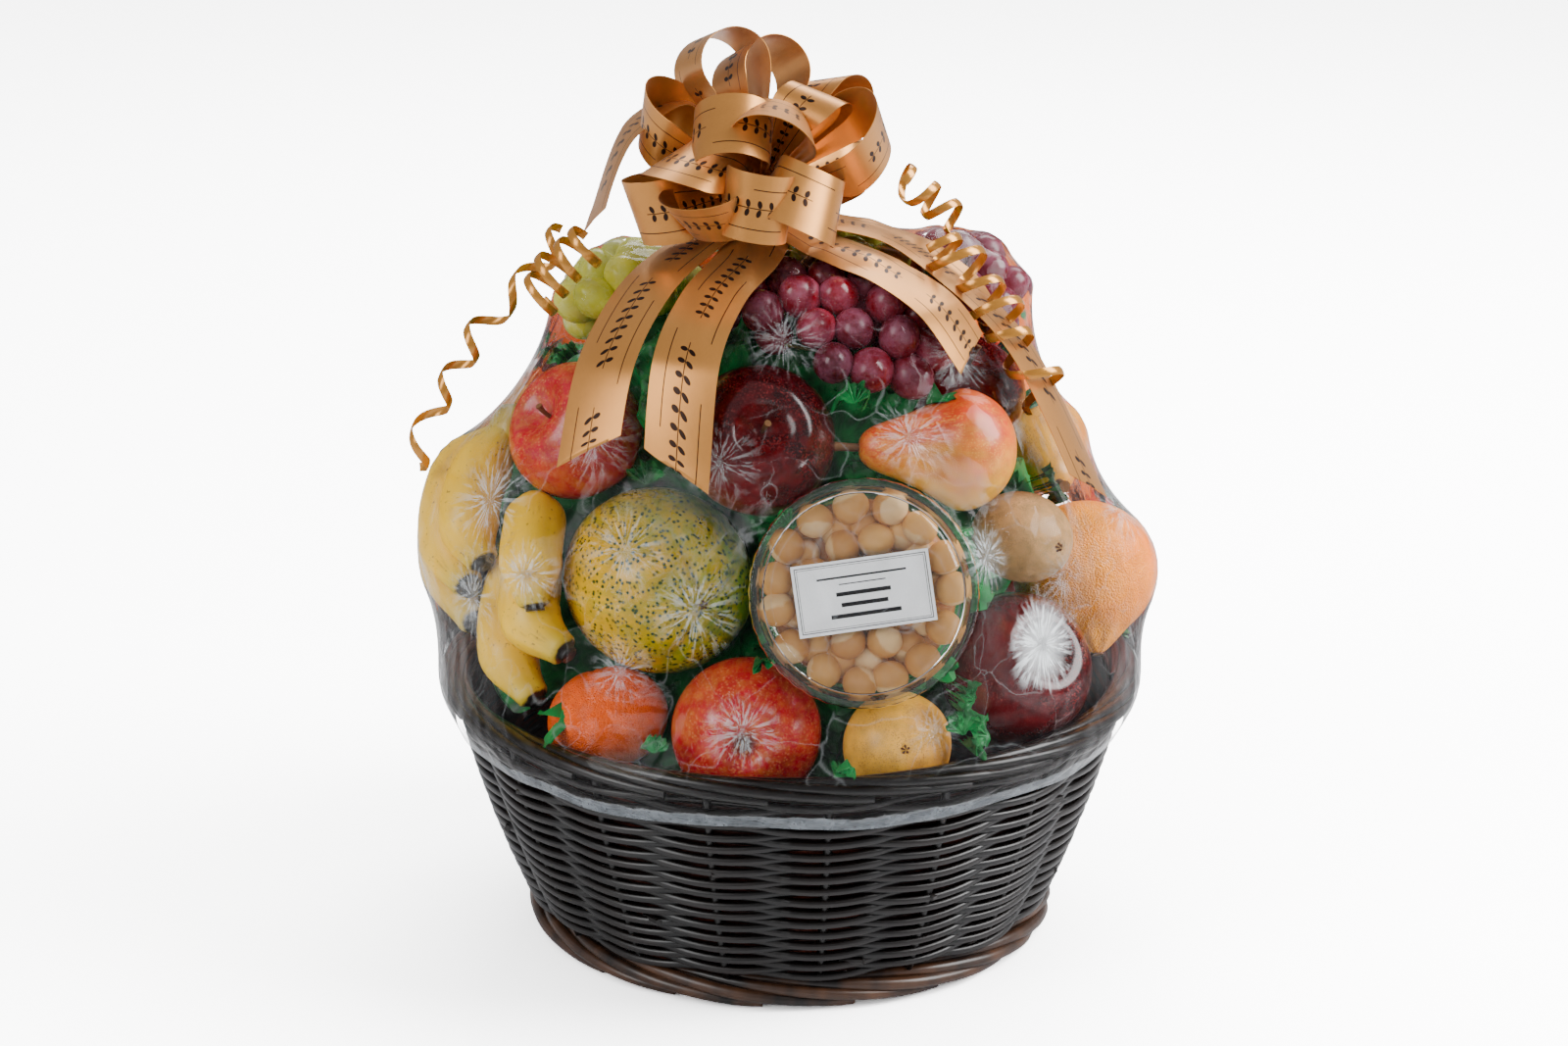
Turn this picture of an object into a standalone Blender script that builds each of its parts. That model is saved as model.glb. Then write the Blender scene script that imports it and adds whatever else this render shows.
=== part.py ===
# Fruit gift basket: a round wicker basket filled with fruit on green tissue, a tub of nuts,
# a clear film drawn up to a knot, and a satin ribbon bow with tails and curls.
# Metres, +Z up, the front faces -Y, the origin is on the floor under the middle.
import math

import bmesh
import bpy
from mathutils import Matrix, Vector
from mathutils.bvhtree import BVHTree

# Basket
FOOT_RING_RADIUS = 0.1370
FOOT_SECTION = (0.0120, 0.0097)
WALL_BOTTOM = 0.0205
WALL_TOP = 0.1340
WALL_FOOT_RADIUS = 0.1465
WALL_FLARE = 0.0385
WALL_THICKNESS = 0.0060
FLOOR_THICKNESS = 0.0080
STAKES = 18
STAKE_RELIEF = 0.0009
RIM_RING_RADIUS = 0.1865
RIM_SECTION = (0.0086, 0.0086)
RIM_HEIGHT = 0.1432

# Mound of fruit: directions are measured from this point
HEART = Vector((0.0, 0.0, 0.200))
FRUIT_SIDES = 12
FRUIT_RINGS = 6
GRAPE_WIDTH = 0.0230
GRAPE_LENGTH = 0.0260
GRAPE_SPACING = 0.96 * GRAPE_WIDTH
GRAPE_TRY_AREA = 0.16 * GRAPE_WIDTH ** 2
GRAPE_KNOT_DISTANCE = 0.0300
TISSUE_SIDES = 19
TISSUE_ROWS = 9
TISSUE_REACH = 0.1850
TISSUE_MARGIN = 0.0050
TISSUE_PROBES = (0.0, 0.09, 0.18, 0.26)

# Film
FILM_EDGE_ELEVATION = -22.3
FILM_TOP_ELEVATION = 82.0
FILM_ROW_POWER = 1.25
FILM_UNDER_RIM = ((0.1800, 0.1180), (0.1760, 0.1000))
FILM_BULGE_STEP = 5.0
FILM_SIDES = 28
FILM_ROWS = 9
FILM_GAP = 0.0054
FILM_THICKNESS = 0.0008
KNOT = Vector((-0.015, -0.010, 0.4020))

# Ribbons
RIBBON_WIDTH = 0.036
RIBBON_THICKNESS = 0.0008
BOW_CLEARANCE = 0.0095
KNOT_CLEARANCE = 0.0020
KNOT_RADIUS = 0.0160
LOOP_SPREAD = 0.62
LOOP_NARROWEST = 0.0060
TAIL_STEPS = 7
TAIL_SLANT = 0.6
CURVE_STEP = 0.02
OUTSIDE = 0.6
CURL_WIDTH = 0.0050
CURL_THICKNESS = 0.0008

# Tub of nuts
TUB_RADIUS = 0.0590
TUB_DEPTH = 0.0380
TUB_SIDES = 18
TUB_FACE = Vector((0.0375, -0.1600, 0.2425))
TUB_FACING = Vector((0.0, -0.950, 0.312))
LABEL_SIZE = (0.0710, 0.0370, 0.0003)
LABEL_TURN = 8.0
LABEL_HEIGHT = 0.0014
NUT_RADIUS = 0.0098
NUT_RINGS = ((1, 0.0), (6, 0.0196), (12, 0.0388))
NUT_TOP = -0.0016
NUT_CORE_TOP = -0.0140

GAP = 0.0004

COLOURS = {
    "wicker": ((0.020, 0.014, 0.010), 0.45, 0.0),
    "tissue": ((0.010, 0.190, 0.080), 0.45, 0.0),
    "film": ((0.900, 0.920, 0.930), 0.08, 0.0),
    "satin": ((0.600, 0.310, 0.120), 0.35, 0.3),
    "mandarin": ((0.850, 0.180, 0.030), 0.40, 0.0),
    "orange": ((0.880, 0.330, 0.040), 0.42, 0.0),
    "striped_apple": ((0.500, 0.070, 0.050), 0.30, 0.0),
    "dark_apple": ((0.150, 0.005, 0.015), 0.25, 0.0),
    "pear": ((0.780, 0.500, 0.150), 0.40, 0.0),
    "papaya": ((0.520, 0.430, 0.030), 0.40, 0.0),
    "kiwi": ((0.300, 0.190, 0.080), 0.80, 0.0),
    "banana": ((0.700, 0.500, 0.060), 0.42, 0.0),
    "red_grape": ((0.180, 0.020, 0.040), 0.30, 0.0),
    "green_grape": ((0.450, 0.460, 0.090), 0.30, 0.0),
    "nut": ((0.600, 0.380, 0.160), 0.55, 0.0),
    "clear_plastic": ((0.900, 0.920, 0.920), 0.10, 0.0),
    "label": ((0.880, 0.880, 0.870), 0.50, 0.0),
}

# Each fruit: its kind, half its width, its centre and the way its stem end points.
FRUIT = {
    "mandarin": ("mandarin", 0.0325, (-0.097, -0.105, 0.1530), (-0.25, 0.35, 0.90)),
    "apple_front": ("striped_apple", 0.0395, (-0.023, -0.133, 0.155), (0.02, 0.98, -0.15)),
    "pear_front": ("pear", 0.0290, (0.056, -0.137, 0.151), (-0.15, 0.95, -0.28)),
    "dark_apple_right": ("dark_apple", 0.0405, (0.121, -0.086, 0.174), (0.49, -0.65, 0.58)),
    "tangelo": ("tangelo", 0.0400, (0.163, -0.010, 0.203), (0.14, -0.50, -0.86)),
    "papaya": ("papaya", 0.0490, (-0.070, -0.082, 0.2225), (-0.46, 0.88, -0.05)),
    "kiwi": ("kiwi", 0.0240, (0.123, -0.081, 0.2465), (-0.60, 0.79, -0.07)),
    "apple_left": ("striped_apple", 0.0370, (-0.114, -0.046, 0.294), (-0.69, -0.45, 0.56)),
    "dark_apple_middle": ("dark_apple", 0.0395, (-0.016, -0.094, 0.303), (0.09, -0.85, 0.51)),
    "pear_lying": ("pear", 0.0325, (0.088, -0.088, 0.297), (-0.99, -0.13, 0.06)),
    "pear_right": ("pear", 0.0290, (0.138, 0.024, 0.264), (0.17, -0.97, -0.12)),
    "dark_apple_top": ("dark_apple", 0.0365, (0.091, -0.020, 0.307), (0.30, -0.20, 0.93)),
    "apple_back_low": ("striped_apple", 0.0375, (0.128, 0.066, 0.168), (0.70, 0.50, 0.50)),
    "orange_back_low": ("orange", 0.0385, (0.070, 0.122, 0.168), (0.30, 0.50, 0.80)),
    "apple_back_middle": ("dark_apple", 0.0380, (-0.010, 0.140, 0.166), (-0.10, 0.80, 0.55)),
    "pear_back_low": ("pear", 0.0330, (-0.082, 0.112, 0.160), (0.40, -0.60, 0.65)),
    "orange_left_low": ("orange", 0.0370, (-0.132, 0.048, 0.166), (-0.30, 0.20, 0.93)),
    "orange_back": ("orange", 0.0390, (0.116, 0.082, 0.243), (0.20, 0.30, 0.93)),
    "apple_back": ("striped_apple", 0.0385, (0.038, 0.132, 0.238), (0.30, 0.70, 0.65)),
    "apple_back_left": ("dark_apple", 0.0385, (-0.044, 0.128, 0.240), (-0.20, 0.75, 0.62)),
    "pear_back": ("pear", 0.0340, (-0.116, 0.078, 0.226), (-0.35, 0.10, 0.93)),
    "orange_top": ("orange", 0.0370, (0.070, 0.075, 0.305), (0.10, 0.60, 0.79)),
    "apple_top": ("striped_apple", 0.0375, (-0.010, 0.090, 0.306), (0.05, 0.70, 0.71)),
    "mandarin_top": ("mandarin", 0.0310, (-0.080, 0.066, 0.300), (-0.30, 0.40, 0.86)),
}

# Bananas: each finger's centre line from the crown to the tip.
FINGER_RADIUS = 0.0165
HAND_LEFT = {
    "upper": ((-0.152, -0.008, 0.286), (-0.169, -0.020, 0.262), (-0.174, -0.042, 0.240),
              (-0.164, -0.061, 0.223)),
    "middle": ((-0.154, -0.003, 0.284), (-0.182, -0.002, 0.254), (-0.186, -0.026, 0.224),
               (-0.172, -0.061, 0.209)),
    "lower": ((-0.152, 0.002, 0.282), (-0.184, 0.014, 0.242), (-0.189, 0.000, 0.203),
              (-0.169, -0.053, 0.184)),
}
HAND_FRONT = {
    "upper": ((-0.137, -0.042, 0.252), (-0.136, -0.072, 0.250), (-0.137, -0.099, 0.237),
              (-0.134, -0.112, 0.216)),
    "middle": ((-0.137, -0.040, 0.246), (-0.138, -0.070, 0.224), (-0.137, -0.098, 0.206),
               (-0.116, -0.118, 0.193)),
    "lower": ((-0.137, -0.036, 0.240), (-0.150, -0.053, 0.204), (-0.151, -0.078, 0.180),
              (-0.134, -0.098, 0.158)),
}

# Bunches of grapes: the finish of each, and its lobes' centres and half sizes.
BUNCHES = {
    "red_grapes": ("red_grape", (((0.016, -0.046, 0.360), (0.056, 0.030, 0.018)),
                                 ((0.027, -0.067, 0.341), (0.050, 0.020, 0.022)))),
    "red_grapes_right": ("red_grape", (((0.090, 0.022, 0.352), (0.030, 0.034, 0.024)),)),
    "green_grapes_top": ("green_grape", (((0.018, 0.014, 0.371), (0.040, 0.028, 0.013)),)),
    "green_grapes_left": ("green_grape", (((-0.086, 0.008, 0.350), (0.030, 0.038, 0.024)),)),
}

# Bow loops as the viewer sees them, right, up and nearer: each one's tip from the knot, the
# way its width runs, its fullness and its cone. The viewer looks down by VIEW_DROP degrees.
VIEW_DROP = 18.34
LOOPS = (
    ((-0.027, 0.080, 0.008), (0.35, 0.25, 0.90), 0.036, 0.00),
    ((-0.002, 0.078, -0.016), (0.50, 0.10, 0.85), 0.038, 0.00),
    ((0.041, 0.058, -0.022), (0.60, -0.30, 0.60), 0.032, 0.10),
    ((0.030, 0.046, 0.032), (0.55, -0.70, 0.20), 0.030, 0.10),
    ((0.064, 0.024, 0.042), (-0.78, 0.35, 0.50), 0.044, 0.10),
    ((0.012, 0.034, 0.056), (-0.20, -0.85, 0.50), 0.038, 0.20),
    ((-0.022, 0.027, 0.056), (0.05, 0.90, -0.40), 0.038, 0.00),
    ((-0.044, 0.009, 0.050), (-0.30, -0.90, 0.00), 0.040, 0.30),
    ((-0.064, 0.036, 0.014), (0.30, 0.70, 0.60), 0.036, 0.10),
    ((-0.066, -0.018, 0.032), (-0.20, 0.90, 0.30), 0.034, 0.05),
    ((-0.037, -0.026, 0.060), (0.05, 1.00, 0.20), 0.040, 0.25),
    ((-0.005, -0.018, 0.068), (0.15, 0.95, 0.20), 0.036, 0.00),
    ((0.031, -0.016, 0.062), (-0.25, -0.90, 0.20), 0.038, 0.10),
    ((-0.042, 0.016, -0.056), (0.50, 0.60, 0.20), 0.038, 0.10),
    ((0.008, 0.020, -0.068), (0.30, 0.90, 0.00), 0.038, 0.10),
    ((0.050, 0.014, -0.048), (-0.40, 0.80, 0.00), 0.036, 0.10),
)
ARC_STEPS = 4

# Ribbon tails: the centre line of each from the bow to its cut end, its height over the
# film and which way its end is cut.
TAILS = {
    "ribbon_tail_left": (((-0.053, -0.036, 0.392), (-0.076, -0.072, 0.380),
                          (-0.094, -0.108, 0.352), (-0.103, -0.130, 0.310)), 0.0022, 1.0),
    "ribbon_tail_middle": (((-0.021, -0.050, 0.392), (-0.040, -0.088, 0.380),
                            (-0.053, -0.124, 0.355), (-0.058, -0.144, 0.303)), 0.0066, -1.0),
    "ribbon_tail_right": (((0.022, -0.040, 0.392), (0.052, -0.060, 0.386),
                           (0.076, -0.076, 0.372), (0.093, -0.090, 0.351)), 0.0056, 1.0),
    "ribbon_tail_far": (((0.052, -0.008, 0.392), (0.084, -0.030, 0.378),
                         (0.122, -0.052, 0.342), (0.158, -0.072, 0.272)), 0.0056, -1.0),
}
FREE_END = ((-0.020, 0.006, 0.440), (-0.056, 0.010, 0.462), (-0.086, -0.004, 0.448),
            (-0.104, -0.012, 0.402))

# Curling ribbons: the axis of each helix, its ring radius, its turns and its height over
# the film.
CURLS = {
    "curl_left": (((-0.122, 0.002, 0.392), (-0.146, -0.004, 0.364), (-0.172, -0.014, 0.334),
                   (-0.192, -0.020, 0.300), (-0.204, -0.022, 0.266)), 0.0070, 5, 0.0030),
    "curl_left_ball": (((-0.108, -0.034, 0.396), (-0.136, -0.036, 0.366)), 0.0120, 4, 0.0040),
    "curl_right": (((0.078, -0.030, 0.392), (0.094, -0.040, 0.368), (0.110, -0.052, 0.344),
                    (0.128, -0.060, 0.310)), 0.0125, 6, 0.0080),
    "curl_right_small": (((0.060, 0.010, 0.420), (0.076, 0.012, 0.408),
                          (0.090, 0.008, 0.392)), 0.0095, 3, 0.0080),
}

finishes = {}


def finish_named(name):
    # A Principled finish of the part's colour, roughness and metallic value.
    if name not in finishes:
        colour, roughness, metallic = COLOURS[name]
        finish = bpy.data.materials.new(name)
        finish.use_nodes = True
        shader = finish.node_tree.nodes["Principled BSDF"]
        shader.inputs["Base Color"].default_value = (*colour, 1.0)
        shader.inputs["Roughness"].default_value = roughness
        shader.inputs["Metallic"].default_value = metallic
        finishes[name] = finish
    return finishes[name]


def solid_from(name, form, finish):
    # Turns the bmesh into a named object with faces out and smooth shading.
    bmesh.ops.recalc_face_normals(form, faces=form.faces)
    mesh = bpy.data.meshes.new(name)
    form.to_mesh(mesh)
    form.free()
    mesh.shade_smooth()
    mesh.set_sharp_from_angle(angle=math.radians(40))
    mesh.materials.append(finish_named(finish))
    solid = bpy.data.objects.new(name, mesh)
    bpy.context.scene.collection.objects.link(solid)
    return solid


def clear_scene():
    for leftover in list(bpy.data.objects):
        bpy.data.objects.remove(leftover)


def smooth(value):
    # Eases from 0 to 1.
    value = min(max(value, 0.0), 1.0)
    return value * value * (3.0 - 2.0 * value)


def direction(azimuth, elevation):
    # The unit vector at an azimuth from the front towards +X and an elevation, in degrees.
    around = math.radians(azimuth)
    up = math.radians(elevation)
    return Vector((math.sin(around) * math.cos(up), -math.cos(around) * math.cos(up),
                   math.sin(up)))


def from_viewer(seen):
    # Turns a way seen as right, up and nearer into the basket's own axes.
    drop = math.radians(VIEW_DROP)
    right, up, nearer = seen
    return Vector((right, math.sin(drop) * up - math.cos(drop) * nearer,
                   math.cos(drop) * up + math.sin(drop) * nearer))


def point_between(points, share):
    # A point at a share of the way along a smooth curve through the points.
    spans = len(points) - 1
    place = min(max(share, 0.0), 1.0) * spans
    index = min(int(place), spans - 1)
    part = place - index
    first = Vector(points[max(index - 1, 0)])
    start = Vector(points[index])
    end = Vector(points[index + 1])
    last = Vector(points[min(index + 2, spans)])
    return 0.5 * (2.0 * start + (end - first) * part
                  + (2.0 * first - 5.0 * start + 4.0 * end - last) * part ** 2
                  + (3.0 * start - first - 3.0 * end + last) * part ** 3)


def skin_rings(form, rings, closed_around=True, capped=True):
    # Joins rings of equal count with faces, and closes the two ends with a face each.
    loops = [[form.verts.new(point) for point in ring] for ring in rings]
    count = len(loops[0])
    last = count if closed_around else count - 1
    for lower, upper in zip(loops[:-1], loops[1:]):
        for index in range(last):
            following = (index + 1) % count
            form.faces.new((lower[index], lower[following], upper[following], upper[index]))
    if capped:
        form.faces.new(loops[0])
        form.faces.new(loops[-1])
    return loops


def turned(form, profile, sides, relief=None):
    # Turns a closed profile of (radius, height) points about the Z axis.
    rings = []
    for index in range(sides):
        angle = 2.0 * math.pi * index / sides
        ring = []
        for radius, height in profile:
            wide = radius + (relief(angle, radius, height) if relief else 0.0)
            ring.append((wide * math.sin(angle), -wide * math.cos(angle), height))
        rings.append(ring)
    loops = [[form.verts.new(point) for point in ring] for ring in rings]
    loops.append(loops[0])
    count = len(profile)
    for near, far in zip(loops[:-1], loops[1:]):
        for index in range(count):
            following = (index + 1) % count
            if profile[index][0] > 0.0 or profile[following][0] > 0.0:
                form.faces.new((near[index], near[following], far[following], far[index]))
    bmesh.ops.remove_doubles(form, verts=form.verts, dist=0.00002)


def triangulate(mesh):
    form = bmesh.new()
    form.from_mesh(mesh)
    bmesh.ops.triangulate(form, faces=form.faces)
    form.to_mesh(mesh)
    form.free()


def fuse(name, solids, finish):
    # Joins solids by one union, and keeps the outer body of the result.
    for piece in solids:
        triangulate(piece.data)
    others = bpy.data.collections.new(name + "_pieces")
    for piece in solids[1:]:
        others.objects.link(piece)
    union = solids[0].modifiers.new("union", "BOOLEAN")
    union.operation = "UNION"
    union.operand_type = "COLLECTION"
    union.collection = others
    union.solver = "MANIFOLD"
    bpy.context.view_layer.update()
    shown = solids[0].evaluated_get(bpy.context.evaluated_depsgraph_get())
    form = bmesh.new()
    form.from_mesh(bpy.data.meshes.new_from_object(shown))
    keep_outer_body(form)
    bmesh.ops.dissolve_limit(form, angle_limit=0.01, verts=form.verts, edges=form.edges)
    bmesh.ops.triangulate(form, faces=form.faces)
    for piece in solids:
        bpy.data.objects.remove(piece)
    bpy.data.collections.remove(others)
    return solid_from(name, form, finish)


def keep_outer_body(form):
    # Drops every loose scrap and inner skin, and leaves the largest body.
    unseen = set(form.verts)
    bodies = []
    while unseen:
        body = set()
        front = [unseen.pop()]
        while front:
            corner = front.pop()
            body.add(corner)
            for edge in corner.link_edges:
                other = edge.other_vert(corner)
                if other in unseen:
                    unseen.remove(other)
                    front.append(other)
        bodies.append(body)
    widest = max(bodies, key=body_extent)
    dropped = [corner for body in bodies if body is not widest for corner in body]
    bmesh.ops.delete(form, geom=dropped, context="VERTS")


def body_extent(body):
    # The diagonal of the box round a set of vertices.
    low = Vector([min(corner.co[axis] for corner in body) for axis in range(3)])
    high = Vector([max(corner.co[axis] for corner in body) for axis in range(3)])
    return (high - low).length


def wall_radius(height):
    # The wall flares from the foot and stands steeper towards the rim.
    share = (height - WALL_BOTTOM) / (WALL_TOP - WALL_BOTTOM)
    return WALL_FOOT_RADIUS + WALL_FLARE * (1.35 * share - 0.35 * share ** 2)


def make_wall():
    # An open cup, with a low ridge over each stake.
    rows = 3
    outer = []
    inner = []
    for row in range(rows + 1):
        height = WALL_BOTTOM + (WALL_TOP - WALL_BOTTOM) * row / rows
        outer.append((wall_radius(height), height))
        if row > 0:
            inner.append((wall_radius(height) - WALL_THICKNESS, height))
    floor = WALL_BOTTOM + FLOOR_THICKNESS
    profile = [(0.0, WALL_BOTTOM)] + outer + inner[::-1]
    profile += [(wall_radius(floor) - WALL_THICKNESS, floor), (0.0, floor)]

    def ridge(angle, radius, height):
        return STAKE_RELIEF * math.cos(STAKES * angle) if radius > 0.05 else 0.0

    form = bmesh.new()
    turned(form, profile, 2 * STAKES, ridge)
    return solid_from("basket_wall", form, "wicker")


def make_border(name, ring_radius, section, height, turns):
    # A plaited border: a ring of six-sided section, flat below, whose lobes turn as it goes.
    steps = 36
    corners = 6
    half_width, half_height = section
    rings = []
    for step in range(steps):
        angle = 2.0 * math.pi * step / steps
        ring = []
        for corner in range(corners):
            about = 2.0 * math.pi * corner / corners
            lobe = half_width * (0.96 + 0.04 * math.cos(3.0 * about + turns * angle))
            wide = ring_radius + lobe * math.cos(about)
            rise = half_height * math.sin(about) / math.sin(math.pi / 3.0)
            ring.append((wide * math.sin(angle), -wide * math.cos(angle), height + rise))
        rings.append(ring)
    form = bmesh.new()
    loops = [[form.verts.new(point) for point in ring] for ring in rings]
    loops.append(loops[0])
    for near, far in zip(loops[:-1], loops[1:]):
        for corner in range(corners):
            following = (corner + 1) % corners
            form.faces.new((near[corner], near[following], far[following], far[corner]))
    return solid_from(name, form, "wicker")


def dimple(across, width, depth):
    return depth * math.exp(-(across / width) ** 2)


def apple_form(unit, lobes):
    # A round body, hollow at the stem and the eye, wider towards the stem.
    across = math.hypot(unit.x, unit.y)
    angle = math.atan2(unit.y, unit.x)
    low = max(-unit.z, 0.0)
    wide = across ** 0.88 * (1.0 + 0.07 * unit.z + lobes * low * math.cos(5.0 * angle))
    height = 0.90 * unit.z
    height -= dimple(across, 0.28, 0.36) if unit.z > 0.0 else 0.0
    height += dimple(across, 0.19, 0.27) if unit.z < 0.0 else 0.0
    height -= lobes * 1.2 * low * across * (1.0 + math.cos(5.0 * angle))
    scale = wide / max(across, 1e-6)
    return Vector((unit.x * scale, unit.y * scale, height))


def striped_apple(unit):
    return apple_form(unit, 0.02)


def dark_apple(unit):
    return apple_form(unit, 0.05)


def citrus(unit):
    # A slightly flattened ball with a shallow hollow at the stem.
    across = math.hypot(unit.x, unit.y)
    height = 0.93 * unit.z - (dimple(across, 0.2, 0.05) if unit.z > 0.0 else 0.0)
    return Vector((unit.x, unit.y, height))


def mandarin(unit):
    across = math.hypot(unit.x, unit.y)
    height = 0.84 * unit.z - (dimple(across, 0.2, 0.06) if unit.z > 0.0 else 0.0)
    return Vector((unit.x, unit.y, height))


def tangelo(unit):
    # A ball with a short neck at the stem.
    across = math.hypot(unit.x, unit.y)
    neck = dimple(across, 0.32, 0.22) if unit.z > 0.0 else 0.0
    return Vector((unit.x, unit.y, 0.96 * unit.z + neck))


def pear(unit):
    # A round body that draws in to a blunt neck.
    across = math.hypot(unit.x, unit.y)
    neck = smooth((unit.z + 0.10) / 0.95)
    scale = (1.0 - 0.43 * neck) * max(across, 1e-6) ** (-0.28 * neck)
    return Vector((unit.x * scale, unit.y * scale, unit.z * (0.95 + 0.68 * neck)))


def papaya(unit):
    # A blunt egg with five creases that meet at the blossom end.
    across = math.hypot(unit.x, unit.y)
    angle = math.atan2(unit.y, unit.x)
    crease = 0.05 * abs(math.cos(2.5 * angle)) ** 6 if unit.z < -0.5 else 0.0
    scale = across ** 0.94 / max(across, 1e-6) * (1.0 - crease)
    return Vector((unit.x * scale, unit.y * scale, 1.15 * unit.z))


def kiwi(unit):
    return Vector((unit.x, unit.y, 1.28 * unit.z))


FORMS = {"striped_apple": striped_apple, "dark_apple": dark_apple, "orange": citrus,
         "mandarin": mandarin, "tangelo": tangelo, "pear": pear, "papaya": papaya,
         "kiwi": kiwi}


def make_fruit(name, kind, half_width, centre, stem_way):
    # A fruit from a ball whose points are moved by the form of its kind.
    form = bmesh.new()
    bmesh.ops.create_uvsphere(form, u_segments=FRUIT_SIDES, v_segments=FRUIT_RINGS, radius=1.0)
    for corner in form.verts:
        polar = math.acos(min(max(corner.co.z, -1.0), 1.0))
        polar -= 0.16 * math.sin(2.0 * polar)
        around = math.atan2(corner.co.y, corner.co.x)
        unit = Vector((math.sin(polar) * math.cos(around), math.sin(polar) * math.sin(around),
                       math.cos(polar)))
        corner.co = FORMS[kind](unit) * half_width
    finish = "orange" if kind == "tangelo" else kind
    fruit = solid_from(name, form, finish)
    fruit.rotation_mode = "QUATERNION"
    fruit.rotation_quaternion = Vector((0, 0, 1)).rotation_difference(Vector(stem_way))
    fruit.location = centre
    return fruit


def finger_radius(share):
    # Thin at the stalk, full along the middle and blunt at the tip.
    stalk = 0.42 + 0.58 * smooth((share - 0.04) / 0.26)
    tip = 1.0 - 0.62 * smooth((share - 0.72) / 0.28)
    return FINGER_RADIUS * stalk * tip


def make_finger(name, line):
    # A banana swept along its centre line.
    steps = 8
    sides = 6
    rings = []
    for step in range(steps + 1):
        share = step / steps
        here = point_between(line, share)
        ahead = point_between(line, min(share + CURVE_STEP, 1.0))
        behind = point_between(line, max(share - CURVE_STEP, 0.0))
        along = (ahead - behind).normalized()
        side = along.cross(Vector((0.3, 0.2, 1.0))).normalized()
        up = side.cross(along)
        radius = finger_radius(share)
        ring = []
        for corner in range(sides):
            about = 2.0 * math.pi * corner / sides
            ring.append(here + radius * (math.cos(about) * side + math.sin(about) * up))
        rings.append(ring)
    form = bmesh.new()
    skin_rings(form, rings)
    return solid_from(name, form, "banana")


def make_hand(name, fingers):
    # A hand of bananas: its fingers grow together in a crown.
    pieces = [make_finger(name + "_" + part, line) for part, line in fingers.items()]
    crown = bmesh.new()
    bmesh.ops.create_uvsphere(crown, u_segments=7, v_segments=5, radius=0.012)
    starts = [Vector(line[0]) for line in fingers.values()]
    middle = sum(starts, Vector()) / len(starts)
    bmesh.ops.translate(crown, verts=crown.verts, vec=middle)
    pieces.append(solid_from(name + "_crown", crown, "banana"))
    return fuse(name, pieces, "banana")


def world_tree(solid):
    # A search tree of the solid's faces in the world.
    bpy.context.view_layer.update()
    form = bmesh.new()
    form.from_mesh(solid.data)
    form.transform(solid.matrix_world)
    tree = BVHTree.FromBMesh(form)
    form.free()
    return tree


def world_points(solid):
    bpy.context.view_layer.update()
    return [solid.matrix_world @ corner.co for corner in solid.data.vertices]


def is_clear(point, reach, trees):
    # True where nothing is nearer to the point than its reach, and it is in no solid.
    for tree in trees:
        place, normal, index, distance = tree.find_nearest(point)
        inside = distance < GRAPE_LENGTH and (point - place).dot(normal) < 0.0
        if distance < reach or inside:
            return False
    return True


def egg_area(half):
    # The surface of an ellipsoid of three half sizes: 4 pi times the power mean of the
    # products of each two.
    power = 1.6
    products = (half[0] * half[1], half[0] * half[2], half[1] * half[2])
    mean = sum(product ** power for product in products) / 3.0
    return 4.0 * math.pi * mean ** (1.0 / power)


def make_bunch(name, lobes, finish, trees, taken):
    # Grapes laid in a spiral over each lobe's outer side and fused to its core.
    pieces = []
    golden = math.pi * (3.0 - math.sqrt(5.0))
    for number, (centre, half) in enumerate(lobes):
        centre = Vector(centre)
        core = bmesh.new()
        bmesh.ops.create_uvsphere(core, u_segments=9, v_segments=6, radius=1.0)
        for corner in core.verts:
            corner.co = Vector([corner.co[axis] * (half[axis] - 0.3 * GRAPE_WIDTH)
                                for axis in range(3)]) + centre
        pieces.append(solid_from(name + "_core_" + str(number), core, finish))
        count = int(egg_area(half) / GRAPE_TRY_AREA)
        for index in range(count):
            height = 1.0 - 2.0 * (index + 0.5) / count
            wide = math.sqrt(1.0 - height * height)
            unit = Vector((wide * math.cos(golden * index), wide * math.sin(golden * index),
                           height))
            point = Vector([unit[axis] * half[axis] for axis in range(3)]) + centre
            outward = (point - HEART).normalized()
            faces_out = Vector([unit[axis] / half[axis] for axis in range(3)]).normalized()
            near_knot = (point - KNOT).length < GRAPE_KNOT_DISTANCE
            if faces_out.dot(outward) < 0.2 or near_knot:
                continue
            if not is_clear(point, GRAPE_LENGTH / 2 + GAP, trees):
                continue
            if any((point - other).length < GRAPE_SPACING for other in taken):
                continue
            taken.append(point)
            grape = bmesh.new()
            bmesh.ops.create_uvsphere(grape, u_segments=5, v_segments=4,
                                      radius=GRAPE_WIDTH / 2)
            for corner in grape.verts:
                corner.co.z *= GRAPE_LENGTH / GRAPE_WIDTH
            turn = Vector((0, 0, 1)).rotation_difference(faces_out).to_matrix()
            bmesh.ops.rotate(grape, verts=grape.verts, cent=(0, 0, 0), matrix=turn)
            bmesh.ops.translate(grape, verts=grape.verts, vec=point)
            pieces.append(solid_from(name + "_grape_" + str(len(pieces)), grape, finish))
    return fuse(name, pieces, finish)


def tub_place():
    # Puts the tub's axis along its facing, turned as the label lies.
    facing = TUB_FACING.normalized()
    side = Vector((0, 0, 1)).cross(facing).normalized()
    up = facing.cross(side)
    frame = Matrix((side, up, facing)).transposed().to_4x4()
    return Matrix.Translation(TUB_FACE) @ frame @ Matrix.Rotation(math.radians(LABEL_TURN), 4, "Z")


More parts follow.
